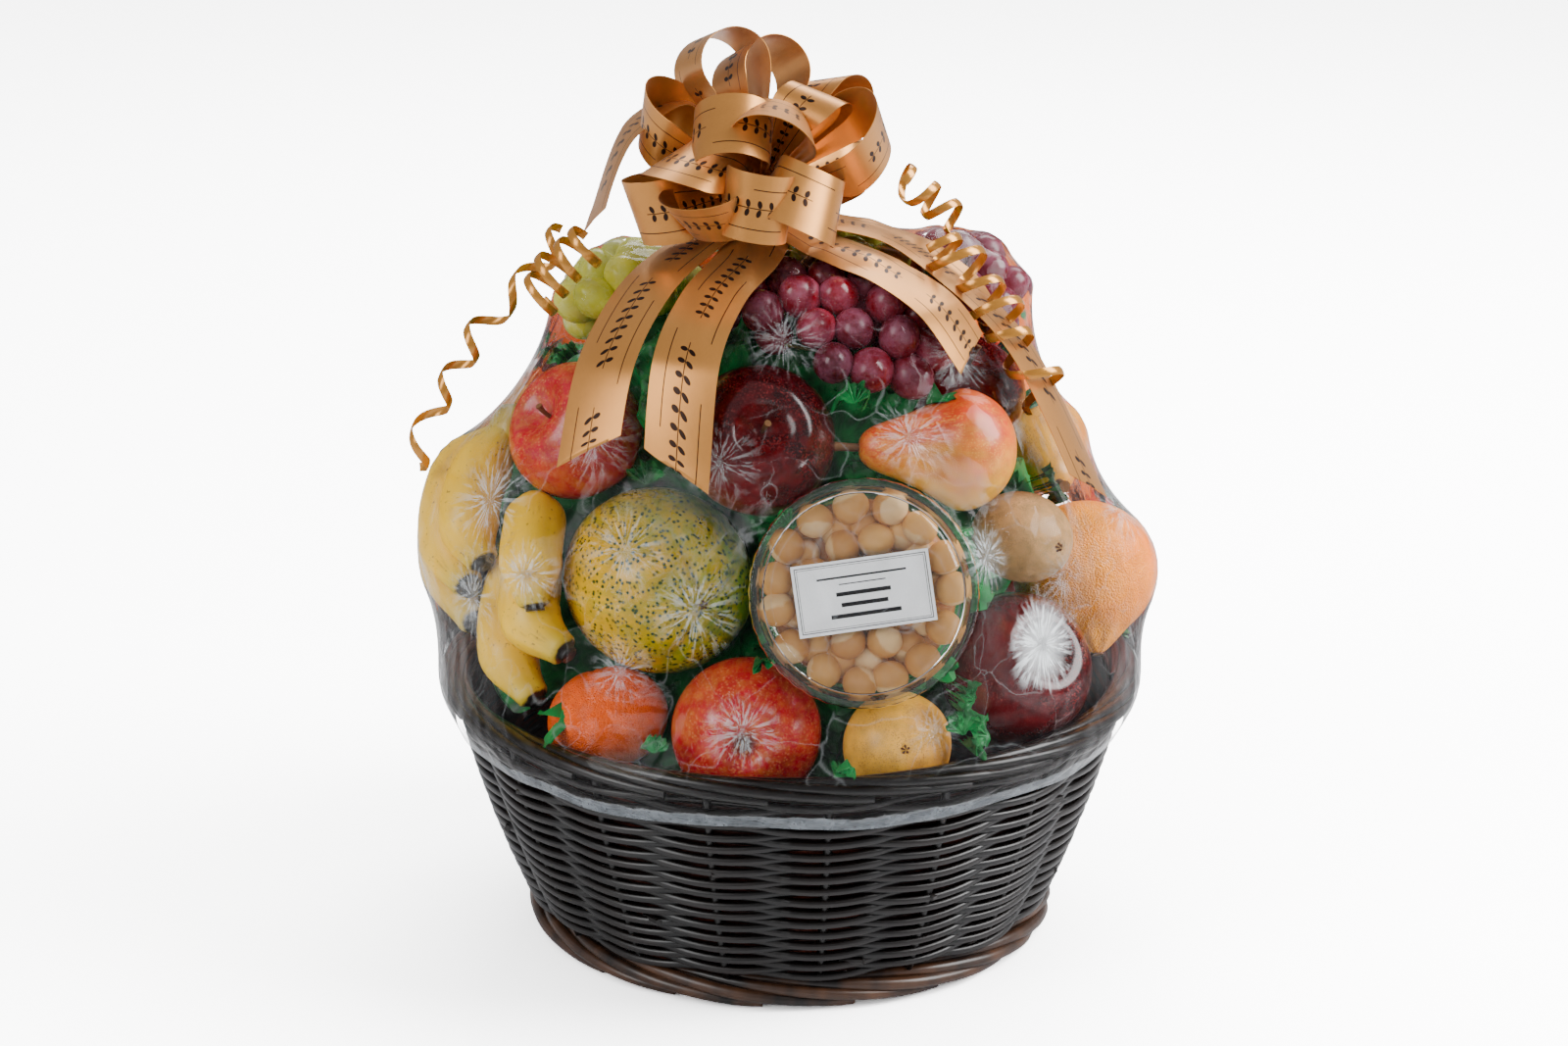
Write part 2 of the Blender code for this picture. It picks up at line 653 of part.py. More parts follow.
def make_tub():
    # A clear tub with its lid, its label and the nuts inside.
    place = tub_place()
    lip = TUB_RADIUS - 0.0022
    foot = TUB_RADIUS - 0.0080
    wall = 0.0010
    base = bmesh.new()
    turned(base, [(0.0, -TUB_DEPTH), (foot, -TUB_DEPTH), (lip - 0.0014, -0.0050),
                  (lip, -0.0042), (lip, -0.0006), (lip - 0.0020, -0.0006),
                  (foot - wall, -TUB_DEPTH + wall), (0.0, -TUB_DEPTH + wall)], TUB_SIDES)
    lid = bmesh.new()
    turned(lid, [(0.0, 0.0010), (0.0495, 0.0010), (0.0515, 0.0030), (TUB_RADIUS - 0.0015, 0.0030),
                 (TUB_RADIUS, 0.0015), (TUB_RADIUS, -0.0070), (TUB_RADIUS - 0.0015, -0.0070),
                 (TUB_RADIUS - 0.0015, 0.0), (0.0, 0.0)], TUB_SIDES)
    label = bmesh.new()
    bmesh.ops.create_cube(label, size=1.0)
    bmesh.ops.scale(label, verts=label.verts, vec=LABEL_SIZE)
    bmesh.ops.translate(label, verts=label.verts, vec=(0, 0, LABEL_HEIGHT + LABEL_SIZE[2] / 2))
    core = bmesh.new()
    turned(core, [(0.0, -TUB_DEPTH + wall + GAP), (foot - wall - GAP, -TUB_DEPTH + wall + GAP),
                  (foot, NUT_CORE_TOP), (0.0, NUT_CORE_TOP)], TUB_SIDES)
    pieces = [solid_from("nut_core", core, "nut")]
    for count, ring in NUT_RINGS:
        for index in range(count):
            angle = 2.0 * math.pi * index / count + 0.3
            nut = bmesh.new()
            bmesh.ops.create_uvsphere(nut, u_segments=5, v_segments=4, radius=NUT_RADIUS)
            bmesh.ops.translate(nut, verts=nut.verts,
                                vec=(ring * math.cos(angle), ring * math.sin(angle),
                                     NUT_TOP - NUT_RADIUS))
            pieces.append(solid_from("nut_" + str(len(pieces)), nut, "nut"))
    nuts = fuse("macadamia_nuts", pieces, "nut")
    tub = [solid_from("tub_base", base, "clear_plastic"),
           solid_from("tub_lid", lid, "clear_plastic"),
           solid_from("tub_label", label, "label"), nuts]
    for piece in tub:
        piece.matrix_world = place
    return tub


def sealing_hull(solids):
    # The tight convex wrap round the fruit, the rim and the knot, as a search tree.
    form = bmesh.new()
    for solid in solids:
        for point in world_points(solid):
            form.verts.new(point)
    form.verts.new(KNOT)
    for step in range(36):
        angle = 2.0 * math.pi * step / 36
        for radius, height in FILM_UNDER_RIM:
            form.verts.new((radius * math.sin(angle), -radius * math.cos(angle), height))
    hull = bmesh.ops.convex_hull(form, input=form.verts)
    inside = set(hull["geom_interior"]) | set(hull["geom_unused"])
    loose = [item for item in inside if isinstance(item, bmesh.types.BMVert)]
    bmesh.ops.delete(form, geom=loose, context="VERTS")
    tree = BVHTree.FromBMesh(form)
    form.free()
    return tree


def film_reach(hull, azimuth, elevation):
    # How far the film is from the heart of the mound, with the nearest bulges counted in.
    half_side = 180.0 / FILM_SIDES
    reach = 0.0
    for beside in (-half_side, 0.0, half_side):
        for above in (-FILM_BULGE_STEP, 0.0, FILM_BULGE_STEP):
            level = max(elevation + above, FILM_EDGE_ELEVATION)
            way = direction(azimuth + beside, level)
            place, normal, index, distance = hull.ray_cast(HEART, way)
            reach = max(reach, distance)
    return reach + FILM_GAP


def make_film(hull):
    # A thin shell over the fruit, open at its lower edge under the rim.
    sheets = []
    for inset in (0.0, FILM_THICKNESS):
        rows = []
        for row in range(FILM_ROWS + 1):
            share = row / FILM_ROWS
            rise = (FILM_TOP_ELEVATION - FILM_EDGE_ELEVATION) * share ** FILM_ROW_POWER
            elevation = FILM_EDGE_ELEVATION + rise
            ring = []
            for step in range(FILM_SIDES):
                azimuth = 360.0 * step / FILM_SIDES
                reach = film_reach(hull, azimuth, elevation)
                ring.append(HEART + direction(azimuth, elevation) * (reach - inset))
            rows.append(ring)
        sheets.append(rows)
    form = bmesh.new()
    loops = skin_rings(form, sheets[0], capped=False)
    inner = skin_rings(form, sheets[1], capped=False)
    for step in range(FILM_SIDES):
        following = (step + 1) % FILM_SIDES
        form.faces.new((loops[0][step], loops[0][following], inner[0][following],
                        inner[0][step]))
    top = KNOT + Vector((0.0, 0.0, FILM_GAP))
    for rows, inset in ((loops, 0.0), (inner, FILM_THICKNESS)):
        tip = form.verts.new(top - Vector((0.0, 0.0, inset)))
        for step in range(FILM_SIDES):
            form.faces.new((rows[-1][step], rows[-1][(step + 1) % FILM_SIDES], tip))
    return solid_from("clear_film", form, "film")


def lift_off(film, point, clearance):
    # Moves a point out to a clearance over the film where it would lie lower.
    away = point - HEART
    way = away.normalized()
    place, normal, index, distance = film.ray_cast(HEART + way * OUTSIDE, -way)
    least = OUTSIDE - distance if distance is not None else 0.0
    return HEART + way * max(away.length, least + clearance)


def strip_solid(form, middle, across, widths, film, clearance):
    # A ribbon of the given widths along its middle line, both faces split alike.
    count = len(middle)
    left = []
    right = []
    for index in range(count):
        half = across[index] * widths[index] / 2
        left.append(lift_off(film, middle[index] - half, clearance))
        right.append(lift_off(film, middle[index] + half, clearance))
    rings = []
    for index in range(count):
        ahead = min(index + 1, count - 1)
        behind = max(index - 1, 0)
        along = (left[ahead] + right[ahead] - left[behind] - right[behind]).normalized()
        normal = along.cross(right[index] - left[index]).normalized() * RIBBON_THICKNESS / 2
        rings.append((left[index] + normal, right[index] + normal, right[index] - normal,
                      left[index] - normal))
    skin_ribbon(form, rings)


def skin_ribbon(form, rings):
    # Joins four-cornered rings with triangles: both wide faces are split the same way.
    loops = [[form.verts.new(point) for point in ring] for ring in rings]
    for near, far in zip(loops[:-1], loops[1:]):
        for first in range(4):
            second = (first + 1) % 4
            corners = (near[first], near[second], far[second], far[first])
            if first > 1:
                corners = corners[1:] + corners[:1]
            form.faces.new(corners[:3])
            form.faces.new((corners[0], corners[2], corners[3]))
    form.faces.new(loops[0])
    form.faces.new(loops[-1])


def knot_centre():
    return KNOT + Vector((0.0, 0.0, FILM_GAP + KNOT_CLEARANCE + KNOT_RADIUS * 0.7))


def loop_point(length, fullness, travelled):
    # A point on a loop's line, out from the knot and across: straight to a round tip and back.
    radius = fullness / 2
    middle = length - radius
    lean = math.asin(radius / middle)
    straight = middle * math.cos(lean)
    arc = radius * (math.pi + 2.0 * lean)
    if travelled <= straight:
        return travelled * math.cos(lean), travelled * math.sin(lean)
    if travelled >= straight + arc:
        left = 2.0 * straight + arc - travelled
        return left * math.cos(lean), -left * math.sin(lean)
    about = math.pi / 2 + lean - (travelled - straight) / radius
    return middle + radius * math.cos(about), radius * math.sin(about)


def loop_stops(length, fullness):
    # Where a loop's line is cut into straight pieces: both legs and the arc between them.
    radius = fullness / 2
    middle = length - radius
    lean = math.asin(radius / middle)
    straight = middle * math.cos(lean)
    arc = radius * (math.pi + 2.0 * lean)
    stops = [KNOT_RADIUS * 0.3, straight]
    stops += [straight + arc * (step + 1) / ARC_STEPS for step in range(ARC_STEPS)]
    return stops + [2.0 * straight + arc - KNOT_RADIUS * 0.3]


def make_loop(name, tip, wide, fullness, cone, film):
    # One loop of the bow: out from the knot, round its tip and back, pinched where it starts.
    tip = from_viewer(tip)
    wide = from_viewer(wide)
    outward = tip.normalized()
    wide_way = (wide - outward * outward.dot(wide)).normalized()
    full_way = wide_way.cross(outward)
    middle = []
    across = []
    widths = []
    for travelled in loop_stops(tip.length, fullness):
        out, over = loop_point(tip.length, fullness, travelled)
        point = outward * out + full_way * over
        width = min(max(LOOP_SPREAD * point.length, LOOP_NARROWEST), RIBBON_WIDTH)
        middle.append(knot_centre() + point)
        tilt = wide_way * width / 2 + point * cone
        across.append(tilt.normalized())
        widths.append(width)
    form = bmesh.new()
    strip_solid(form, middle, across, widths, film, BOW_CLEARANCE)
    return solid_from(name, form, "satin")


def make_bow(film):
    # Every loop of the bow, its free end and the knot that holds them.
    knot = bmesh.new()
    bmesh.ops.create_uvsphere(knot, u_segments=8, v_segments=5, radius=KNOT_RADIUS)
    bmesh.ops.scale(knot, verts=knot.verts, vec=(1.0, 1.0, 0.7))
    bmesh.ops.translate(knot, verts=knot.verts, vec=knot_centre())
    pieces = [solid_from("bow_knot", knot, "satin")]
    for number, loop in enumerate(LOOPS):
        pieces.append(make_loop("bow_loop_" + str(number), *loop, film))
    pieces.append(make_tail("bow_free_end", FREE_END, BOW_CLEARANCE, 1.0, film))
    return fuse("ribbon_bow", pieces, "satin")


def make_tail(name, line, clearance, slant, film):
    # A hanging end of the ribbon with a slanted cut.
    middle = []
    across = []
    for step in range(TAIL_STEPS + 1):
        share = step / TAIL_STEPS
        point = point_between(line, share)
        along = (point_between(line, min(share + CURVE_STEP, 1.0))
                 - point_between(line, max(share - CURVE_STEP, 0.0))).normalized()
        away = (point - HEART).normalized()
        side = along.cross(away).normalized()
        middle.append(point)
        across.append(side)
    form = bmesh.new()
    strip_solid(form, middle, across, [RIBBON_WIDTH] * (TAIL_STEPS + 1), film, clearance)
    form.verts.ensure_lookup_table()
    along = (middle[-1] - middle[-2]).normalized()
    for corner in list(form.verts)[-4:]:
        beside = (corner.co - middle[-1]).dot(across[-1])
        corner.co += along * slant * beside * TAIL_SLANT
    return solid_from(name, form, "satin")


def make_curl(name, line, ring, turns, clearance, film):
    # A curled narrow ribbon: a strip wound round its axis line.
    steps = 5 * turns
    up = Vector((0, 0, 1))
    rings = []
    for step in range(steps + 1):
        share = step / steps
        point = point_between(line, share)
        along = (point_between(line, min(share + CURVE_STEP, 1.0))
                 - point_between(line, max(share - CURVE_STEP, 0.0))).normalized()
        centre = lift_off(film, point, ring + clearance)
        side = along.cross(up).normalized()
        over = side.cross(along)
        about = 2.0 * math.pi * turns * share
        radial = math.cos(about) * side + math.sin(about) * over
        middle = centre + radial * ring
        half = along * CURL_WIDTH / 2
        skin = radial * CURL_THICKNESS / 2
        rings.append((middle - half - skin, middle + half - skin, middle + half + skin,
                      middle - half + skin))
    form = bmesh.new()
    skin_ribbon(form, rings)
    return solid_from(name, form, "satin")


def make_tissue(trees):
    # Green tissue packed between the fruit: it reaches out to what lies nearest.
    form = bmesh.new()
    bmesh.ops.create_uvsphere(form, u_segments=TISSUE_SIDES, v_segments=TISSUE_ROWS, radius=1.0)
    for corner in form.verts:
        way = corner.co.normalized()
        side = way.orthogonal().normalized()
        over = way.cross(side)
        reach = TISSUE_REACH
        for ring in TISSUE_PROBES:
            for step in range(12):
                about = 2.0 * math.pi * step / 12
                probe = way + ring * (math.cos(about) * side + math.sin(about) * over)
                for tree in trees:
                    place, normal, index, distance = tree.ray_cast(HEART, probe.normalized())
                    if distance is not None:
                        reach = min(reach, distance)
                if ring == 0.0:
                    break
        corner.co = HEART + way * (reach - TISSUE_MARGIN)
    return solid_from("tissue_packing", form, "tissue")


def main():
    clear_scene()
    wall = make_wall()
    make_border("basket_foot_border", FOOT_RING_RADIUS, FOOT_SECTION, FOOT_SECTION[1], 16)
    rim = make_border("basket_rim_border", RIM_RING_RADIUS, RIM_SECTION, RIM_HEIGHT, 24)
    fruit = [make_fruit(name, *facts) for name, facts in FRUIT.items()]
    hands = [make_hand("banana_hand_left", HAND_LEFT),
             make_hand("banana_hand_front", HAND_FRONT)]
    tub = make_tub()
    packed = fruit + hands + tub
    trees = [world_tree(solid) for solid in fruit + hands]
    taken = []
    bunches = []
    for name, (finish, lobes) in BUNCHES.items():
        bunches.append(make_bunch(name, lobes, finish, trees, taken))
        trees.append(world_tree(bunches[-1]))
    make_tissue(trees + [world_tree(solid) for solid in tub + [wall, rim]])
    film = world_tree(make_film(sealing_hull(packed + bunches + [rim])))
    make_bow(film)
    for name, facts in TAILS.items():
        make_tail(name, *facts, film)
    for name, facts in CURLS.items():
        make_curl(name, *facts, film)


main()
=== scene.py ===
# The fruit gift basket as it looks: willow weave, fruit, a tub of nuts, tissue, clear film and
# a satin bow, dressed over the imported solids. Metres, +Z up, the front faces -Y.
import math

import bpy
import numpy as np
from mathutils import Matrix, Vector


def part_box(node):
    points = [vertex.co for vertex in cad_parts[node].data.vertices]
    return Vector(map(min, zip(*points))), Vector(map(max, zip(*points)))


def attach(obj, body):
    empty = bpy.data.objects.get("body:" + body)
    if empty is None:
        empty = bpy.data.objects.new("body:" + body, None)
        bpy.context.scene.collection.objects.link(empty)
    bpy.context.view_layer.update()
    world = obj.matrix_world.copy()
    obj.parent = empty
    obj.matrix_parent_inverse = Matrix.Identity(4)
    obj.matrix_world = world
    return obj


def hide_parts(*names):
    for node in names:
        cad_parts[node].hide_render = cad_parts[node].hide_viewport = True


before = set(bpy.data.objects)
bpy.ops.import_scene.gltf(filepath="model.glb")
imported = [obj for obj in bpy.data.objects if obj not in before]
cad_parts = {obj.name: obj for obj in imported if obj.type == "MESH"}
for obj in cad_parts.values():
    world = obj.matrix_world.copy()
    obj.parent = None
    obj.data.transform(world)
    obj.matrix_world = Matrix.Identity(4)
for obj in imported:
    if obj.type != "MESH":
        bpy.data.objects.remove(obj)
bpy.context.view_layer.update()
random = np.random.default_rng(7)

camera = {"place": (-0.00325, -1.944, 0.8718), "drop": 18.34, "lens": 85.0, "sensor": 36.0}
heart = np.array((-0.015, -0.010, 0.200))
upward = np.array((0.0, 0.0, 1.0))
deepening = 1.35
fullTurn = 2.0 * math.pi


def unit(vectors):
    # Each vector divided by its length.
    vectors = np.asarray(vectors, float)
    return vectors / np.maximum(np.linalg.norm(vectors, axis=-1, keepdims=True), 1e-9)


def smooth(low, high, value):
    # 0 below low, 1 above high and 3s^2 - 2s^3 between.
    share = np.clip((np.asarray(value, float) - low) / (high - low), 0.0, 1.0)
    return share * share * (3.0 - 2.0 * share)


def circle(count):
    # Even angles round a full turn, without its end.
    return np.linspace(0.0, fullTurn, count, endpoint=False)


def waves(points, scale, seed, octaves=3):
    # A soft random field: sums of sines along random directions, each octave twice as fine.
    source = np.random.default_rng(seed)
    total = np.zeros(points.shape[:-1])
    for octave in range(octaves):
        for turn in range(5):
            way = unit(source.normal(size=3)) * 2.0 ** octave / scale
            total += np.sin(points @ way * 2.0 * math.pi + source.uniform(0, 6.28)) / 2.0 ** octave
    return total / (5.0 ** 0.5 * 2.0)


def curve(points, shares):
    # Catmull-Rom through the points: (2b + (c-a)t + (2a-5b+4c-d)t^2 + (3b-a-3c+d)t^3) / 2.
    points = np.asarray(points, float)
    spans = len(points) - 1
    place = np.clip(shares, 0.0, 1.0) * spans
    index = np.minimum(place.astype(int), spans - 1)
    part = (place - index)[:, None]
    first = points[np.maximum(index - 1, 0)]
    start = points[index]
    end = points[index + 1]
    last = points[np.minimum(index + 2, spans)]
    return 0.5 * (2 * start + (end - first) * part + (2 * first - 5 * start + 4 * end - last) * part ** 2
                  + (3 * start - first - 3 * end + last) * part ** 3)


def alongOf(points):
    # The unit direction of a line at each of its points, from the point before to the one after.
    padded = np.vstack((2 * points[:1] - points[1:2], points, 2 * points[-1:] - points[-2:-1]))
    return unit(padded[2:] - padded[:-2])


def wayOf(azimuth, elevation):
    # The unit direction at an azimuth from the front and an elevation, both in radians.
    flat = np.cos(elevation)
    return np.stack(np.broadcast_arrays(np.sin(azimuth) * flat, -np.cos(azimuth) * flat,
                                        np.sin(elevation)), -1)


def fromViewer(vector):
    # A vector given as right, up and towards the viewer, turned by the camera's downward look.
    drop = math.radians(camera["drop"])
    right, up, near = vector
    return np.array((right, math.sin(drop) * up - math.cos(drop) * near,
                     math.cos(drop) * up + math.sin(drop) * near))


# Meshes: a shape is points, faces as rows of indices, and values per point.
def gridShape(grid, values=None):
    # The faces between neighbours of a grid of points, whose columns are joined round.
    rows, columns = grid.shape[:2]
    number = np.arange(rows * columns).reshape(rows, columns)
    number = np.hstack((number, number[:, :1]))
    faces = np.stack((number[:-1, :-1], number[:-1, 1:], number[1:, 1:], number[1:, :-1]), -1)
    values = {key: np.asarray(value, float).reshape(rows * columns, -1)
              for key, value in (values or {}).items()}
    return {"points": grid.reshape(-1, 3), "faces": [faces.reshape(-1, 4)], "values": values}


def capped(grid, values=None):
    # A grid joined round, its first and last ring closed with a fan of faces to a middle point.
    rows, columns = grid.shape[:2]
    shape = gridShape(grid, values)
    points = shape["points"]
    count = len(points)
    first = np.arange(columns)
    last = first + (rows - 1) * columns
    middles = np.vstack((points[first].mean(0), points[last].mean(0)))
    low = np.stack((np.full(columns, count), np.roll(first, -1), first), -1)
    high = np.stack((np.full(columns, count + 1), last, np.roll(last, -1)), -1)
    values = {key: np.vstack((value, value[first].mean(0), value[last].mean(0)))
              for key, value in shape["values"].items()}
    return {"points": np.vstack((points, middles)), "faces": shape["faces"] + [low, high],
            "values": values}


def joined(shapes):
    # Several shapes as one, with each one's indices moved past those before it.
    points = []
    faces = []
    start = 0
    for shape in shapes:
        points.append(shape["points"])
        faces += [block + start for block in shape["faces"]]
        start += len(shape["points"])
    values = {key: np.vstack([shape["values"][key] for shape in shapes])
              for key in shapes[0]["values"]}
    return {"points": np.vstack(points), "faces": faces, "values": values}


def placed(name, data):
    # An object of its own for a mesh, a lamp or a camera.
    made = bpy.data.objects.new(name, data)
    bpy.context.scene.collection.objects.link(made)
    return made


def piece(name, shape, material, replaced=(), sharp=None):
    # Turns a shape into an object that rides on the basket.
    mesh = bpy.data.meshes.new(name)
    faces = [row for block in shape["faces"] for row in block.tolist()]
    mesh.from_pydata(shape["points"].tolist(), [], faces)
    for key, value in shape["values"].items():
        kind = "FLOAT_VECTOR" if value.shape[1] == 3 else "FLOAT"
        layer = mesh.attributes.new(key, kind, "POINT")
        layer.data.foreach_set("vector" if value.shape[1] == 3 else "value", value.ravel())
    mesh.shade_smooth()
    if sharp:
        mesh.set_sharp_from_angle(angle=math.radians(sharp))
    mesh.materials.append(material)
    made = placed(name, mesh)
    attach(made, "root")
    if replaced:
        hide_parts(*replaced)
    return made


def ball(rows, columns):
    # Unit directions on a grid from the top pole to the bottom one, finer towards the poles.
    polar = np.linspace(0.0, math.pi, rows)
    polar = polar - 0.16 * np.sin(2.0 * polar)
    polar[0] = 0.004
    polar[-1] = math.pi - 0.004
    polar, about = np.meshgrid(polar, circle(columns), indexing="ij")
    return np.stack((np.sin(polar) * np.cos(about), np.sin(polar) * np.sin(about), np.cos(polar)), -1)


def tube(line, widths, side, over, sides, flat=1.0):
    # Rings round a line: line + width (flat cos a side + sin a over).
    about = circle(sides)[None, :, None]
    return line[:, None] + widths * (flat * np.cos(about) * side[:, None] + np.sin(about) * over[:, None])


def rod(line, widths, sides=8, values=None, lift=None):
    # A rod swept along a line: line + width (cos a side + sin a over), closed at its ends.
    line = np.asarray(line, float)
    along = alongOf(line)
    lift = unit(np.cross(along, np.broadcast_to(upward if lift is None else lift, along.shape)))
    over = np.cross(lift, along)
    widths = np.broadcast_to(widths, (len(line),))[:, None, None]
    spread = {key: np.repeat(np.asarray(value, float).reshape(len(line), -1), sides, axis=0)
              for key, value in (values or {}).items()}
    return capped(tube(line, widths, lift, over, sides), spread)


def rodSpace(travelled, number, proud):
    # What a rod carries at each point of its line: the way travelled, its own number and how
    # proud it stands.
    return {"rodSpace": np.stack((travelled, travelled * 0, travelled * 0 + number), -1),
            "proud": proud + travelled * 0}


def turnTo(way):
    # The rotation that takes +Z to a direction, as a matrix for rows of points.
    return np.array(Vector((0, 0, 1)).rotation_difference(Vector(way)).to_matrix())


def middleOf(node):
    # The middle of a node's box.
    low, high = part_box(node)
    return (np.array(low) + np.array(high)) / 2


def boxMiddle(points):
    # The middle of the box round some points.
    return (points.min(0) + points.max(0)) / 2


# Materials
def tint(red, green, blue):
    # A colour from its values on a screen, out of 255, deepened by a power because a bright
    # room washes colours out.
    share = np.array((red, green, blue)) / 255.0
    linear = np.where(share <= 0.04045, share / 12.92, ((share + 0.055) / 1.055) ** 2.4)
    return (*(linear ** deepening).tolist(), 1.0)


def fill(tree, made, key, value):
    # Sets an input of a shader node, or links a socket to it.
    if isinstance(value, bpy.types.NodeSocket):
        tree.links.new(value, made.inputs[key])
    else:
        made.inputs[key].default_value = value


def wire(tree, kind, inputs=None, **settings):
    # A shader node with its settings, and its inputs set or linked.
    made = tree.nodes.new("ShaderNode" + kind)
    for key, value in settings.items():
        setattr(made, key, value)
    for key, value in (inputs or {}).items():
        fill(tree, made, key, value)
    return made


def mixed(tree, share, low, high, blend="MIX"):
    # Two colours blended by a share.
    return wire(tree, "Mix", {0: share, 6: low, 7: high}, data_type="RGBA", blend_type=blend).outputs[2]


def ranged(tree, value, low, high, start=0.0, end=1.0):
    # A value mapped from low..high to start..end and held there.
    return wire(tree, "MapRange", {"Value": value, "From Min": low, "From Max": high,
                                   "To Min": start, "To Max": end}).outputs["Result"]


def computed(tree, operation, first, second=0.0):
    # Two values put together by a named operation.
    return wire(tree, "Math", {0: first, 1: second}, operation=operation).outputs[0]


def plus(tree, first, second):
    # first + second.
    return computed(tree, "ADD", first, second)


def minus(tree, first, second):
    # first - second.
    return computed(tree, "SUBTRACT", first, second)


def times(tree, first, second):
    # first times second.
    return computed(tree, "MULTIPLY", first, second)


def absolute(tree, value):
    # A value without its sign.
    return computed(tree, "ABSOLUTE", value)


def parted(tree, value, middle):
    # How far a value is from a middle one, on either side.
    return absolute(tree, minus(tree, value, middle))


def carried(tree, name, kind="Vector"):
    # What the mesh carries under a name at each point.
    return wire(tree, "Attribute", attribute_name=name).outputs[kind]


def ownSpace(tree):
    # The object's own coordinates.
    return wire(tree, "TexCoord").outputs["Object"]


def split(tree, vector):
    # A vector's three parts.
    return wire(tree, "SeparateXYZ", {0: vector}).outputs


def even(tree, value):
    # One value three times over, as a grey colour or a vector.
    return wire(tree, "CombineXYZ", {"X": value, "Y": value, "Z": value}).outputs[0]


def shaded(tree, color, tone):
    # A colour made lighter or darker by a factor.
    return mixed(tree, 1.0, color, even(tree, tone), "MULTIPLY")


def noise(tree, vector, scale, detail=3.0, roughness=0.5, stretch=(1.0, 1.0, 1.0)):
    # Noise over a vector that is stretched first.
    spread = wire(tree, "VectorMath", {0: vector, 1: stretch}, operation="MULTIPLY")
    return wire(tree, "TexNoise", {"Vector": spread.outputs[0], "Scale": scale, "Detail": detail,
                                   "Roughness": roughness}).outputs["Fac"]


def cells(tree, vector, scale, feature="F1"):
    # Cells over a vector: the distance to the nearest middle or edge, and each cell's colour.
    return wire(tree, "TexVoronoi", {"Vector": vector, "Scale": scale}, feature=feature).outputs


def newGroup(name, inputs):
    # An empty node group with named inputs, each with its first value, that puts out a colour,
    # a roughness and a height.
    group = bpy.data.node_groups.new(name, "ShaderNodeTree")
    for label, value in inputs.items():
        kind = "NodeSocketColor" if isinstance(value, tuple) else "NodeSocketFloat"
        group.interface.new_socket(label, in_out="INPUT", socket_type=kind).default_value = value
    for label in ("Color", "Roughness", "Height"):
        kind = "NodeSocketColor" if label == "Color" else "NodeSocketFloat"
        group.interface.new_socket(label, in_out="OUTPUT", socket_type=kind)
    return group, group.nodes.new("NodeGroupInput").outputs


def groupResult(group, color, rough, height):
    # Ends a group with what it puts out.
    result = group.nodes.new("NodeGroupOutput")
    for label, value in (("Color", color), ("Roughness", rough), ("Height", height)):
        group.links.new(value, result.inputs[label])
    return group


def startMaterial(name, **settings):
    # A Principled material with its tree and its shader node.
    made = bpy.data.materials.new(name)
    made.use_nodes = True
    shader = made.node_tree.nodes["Principled BSDF"]
    for key, value in settings.items():
        shader.inputs[key.replace("_", " ")].default_value = value
    return made, made.node_tree, shader


def bumped(tree, shader, height, distance, strength):
    # Bends a shader's normal by a height.
    bump = wire(tree, "Bump", {"Height": height, "Distance": distance, "Strength": strength})
    tree.links.new(bump.outputs["Normal"], shader.inputs["Normal"])
    return bump.outputs["Normal"]


def newMaterial(name, group, values, **settings):
    # A Principled material whose colour, roughness and bump come from a group.
    made, tree, shader = startMaterial(name, **settings)
    use = wire(tree, "Group", node_tree=group)
    for key, value in values.items():
        use.inputs[key].default_value = value
    fill(tree, shader, "Base Color", use.outputs["Color"])
    fill(tree, shader, "Roughness", use.outputs["Roughness"])
    bumped(tree, shader, use.outputs["Height"], 0.001, 1.0)
    return made


def glossy(tree, shader, rough, reflect, normal=None):
    # Lays a mirror-like coat over a shader, by Fresnel.
    bent = {"Normal": normal} if normal else {}
    gloss = wire(tree, "BsdfAnisotropic", {"Roughness": rough, "Color": (1, 1, 1, 1), **bent})
    fresnel = wire(tree, "Fresnel", {"IOR": reflect, **bent})
    mix = wire(tree, "MixShader", {0: fresnel.outputs[0], 1: shader.outputs[0], 2: gloss.outputs[0]})
    tree.links.new(mix.outputs[0], tree.nodes["Material Output"].inputs["Surface"])


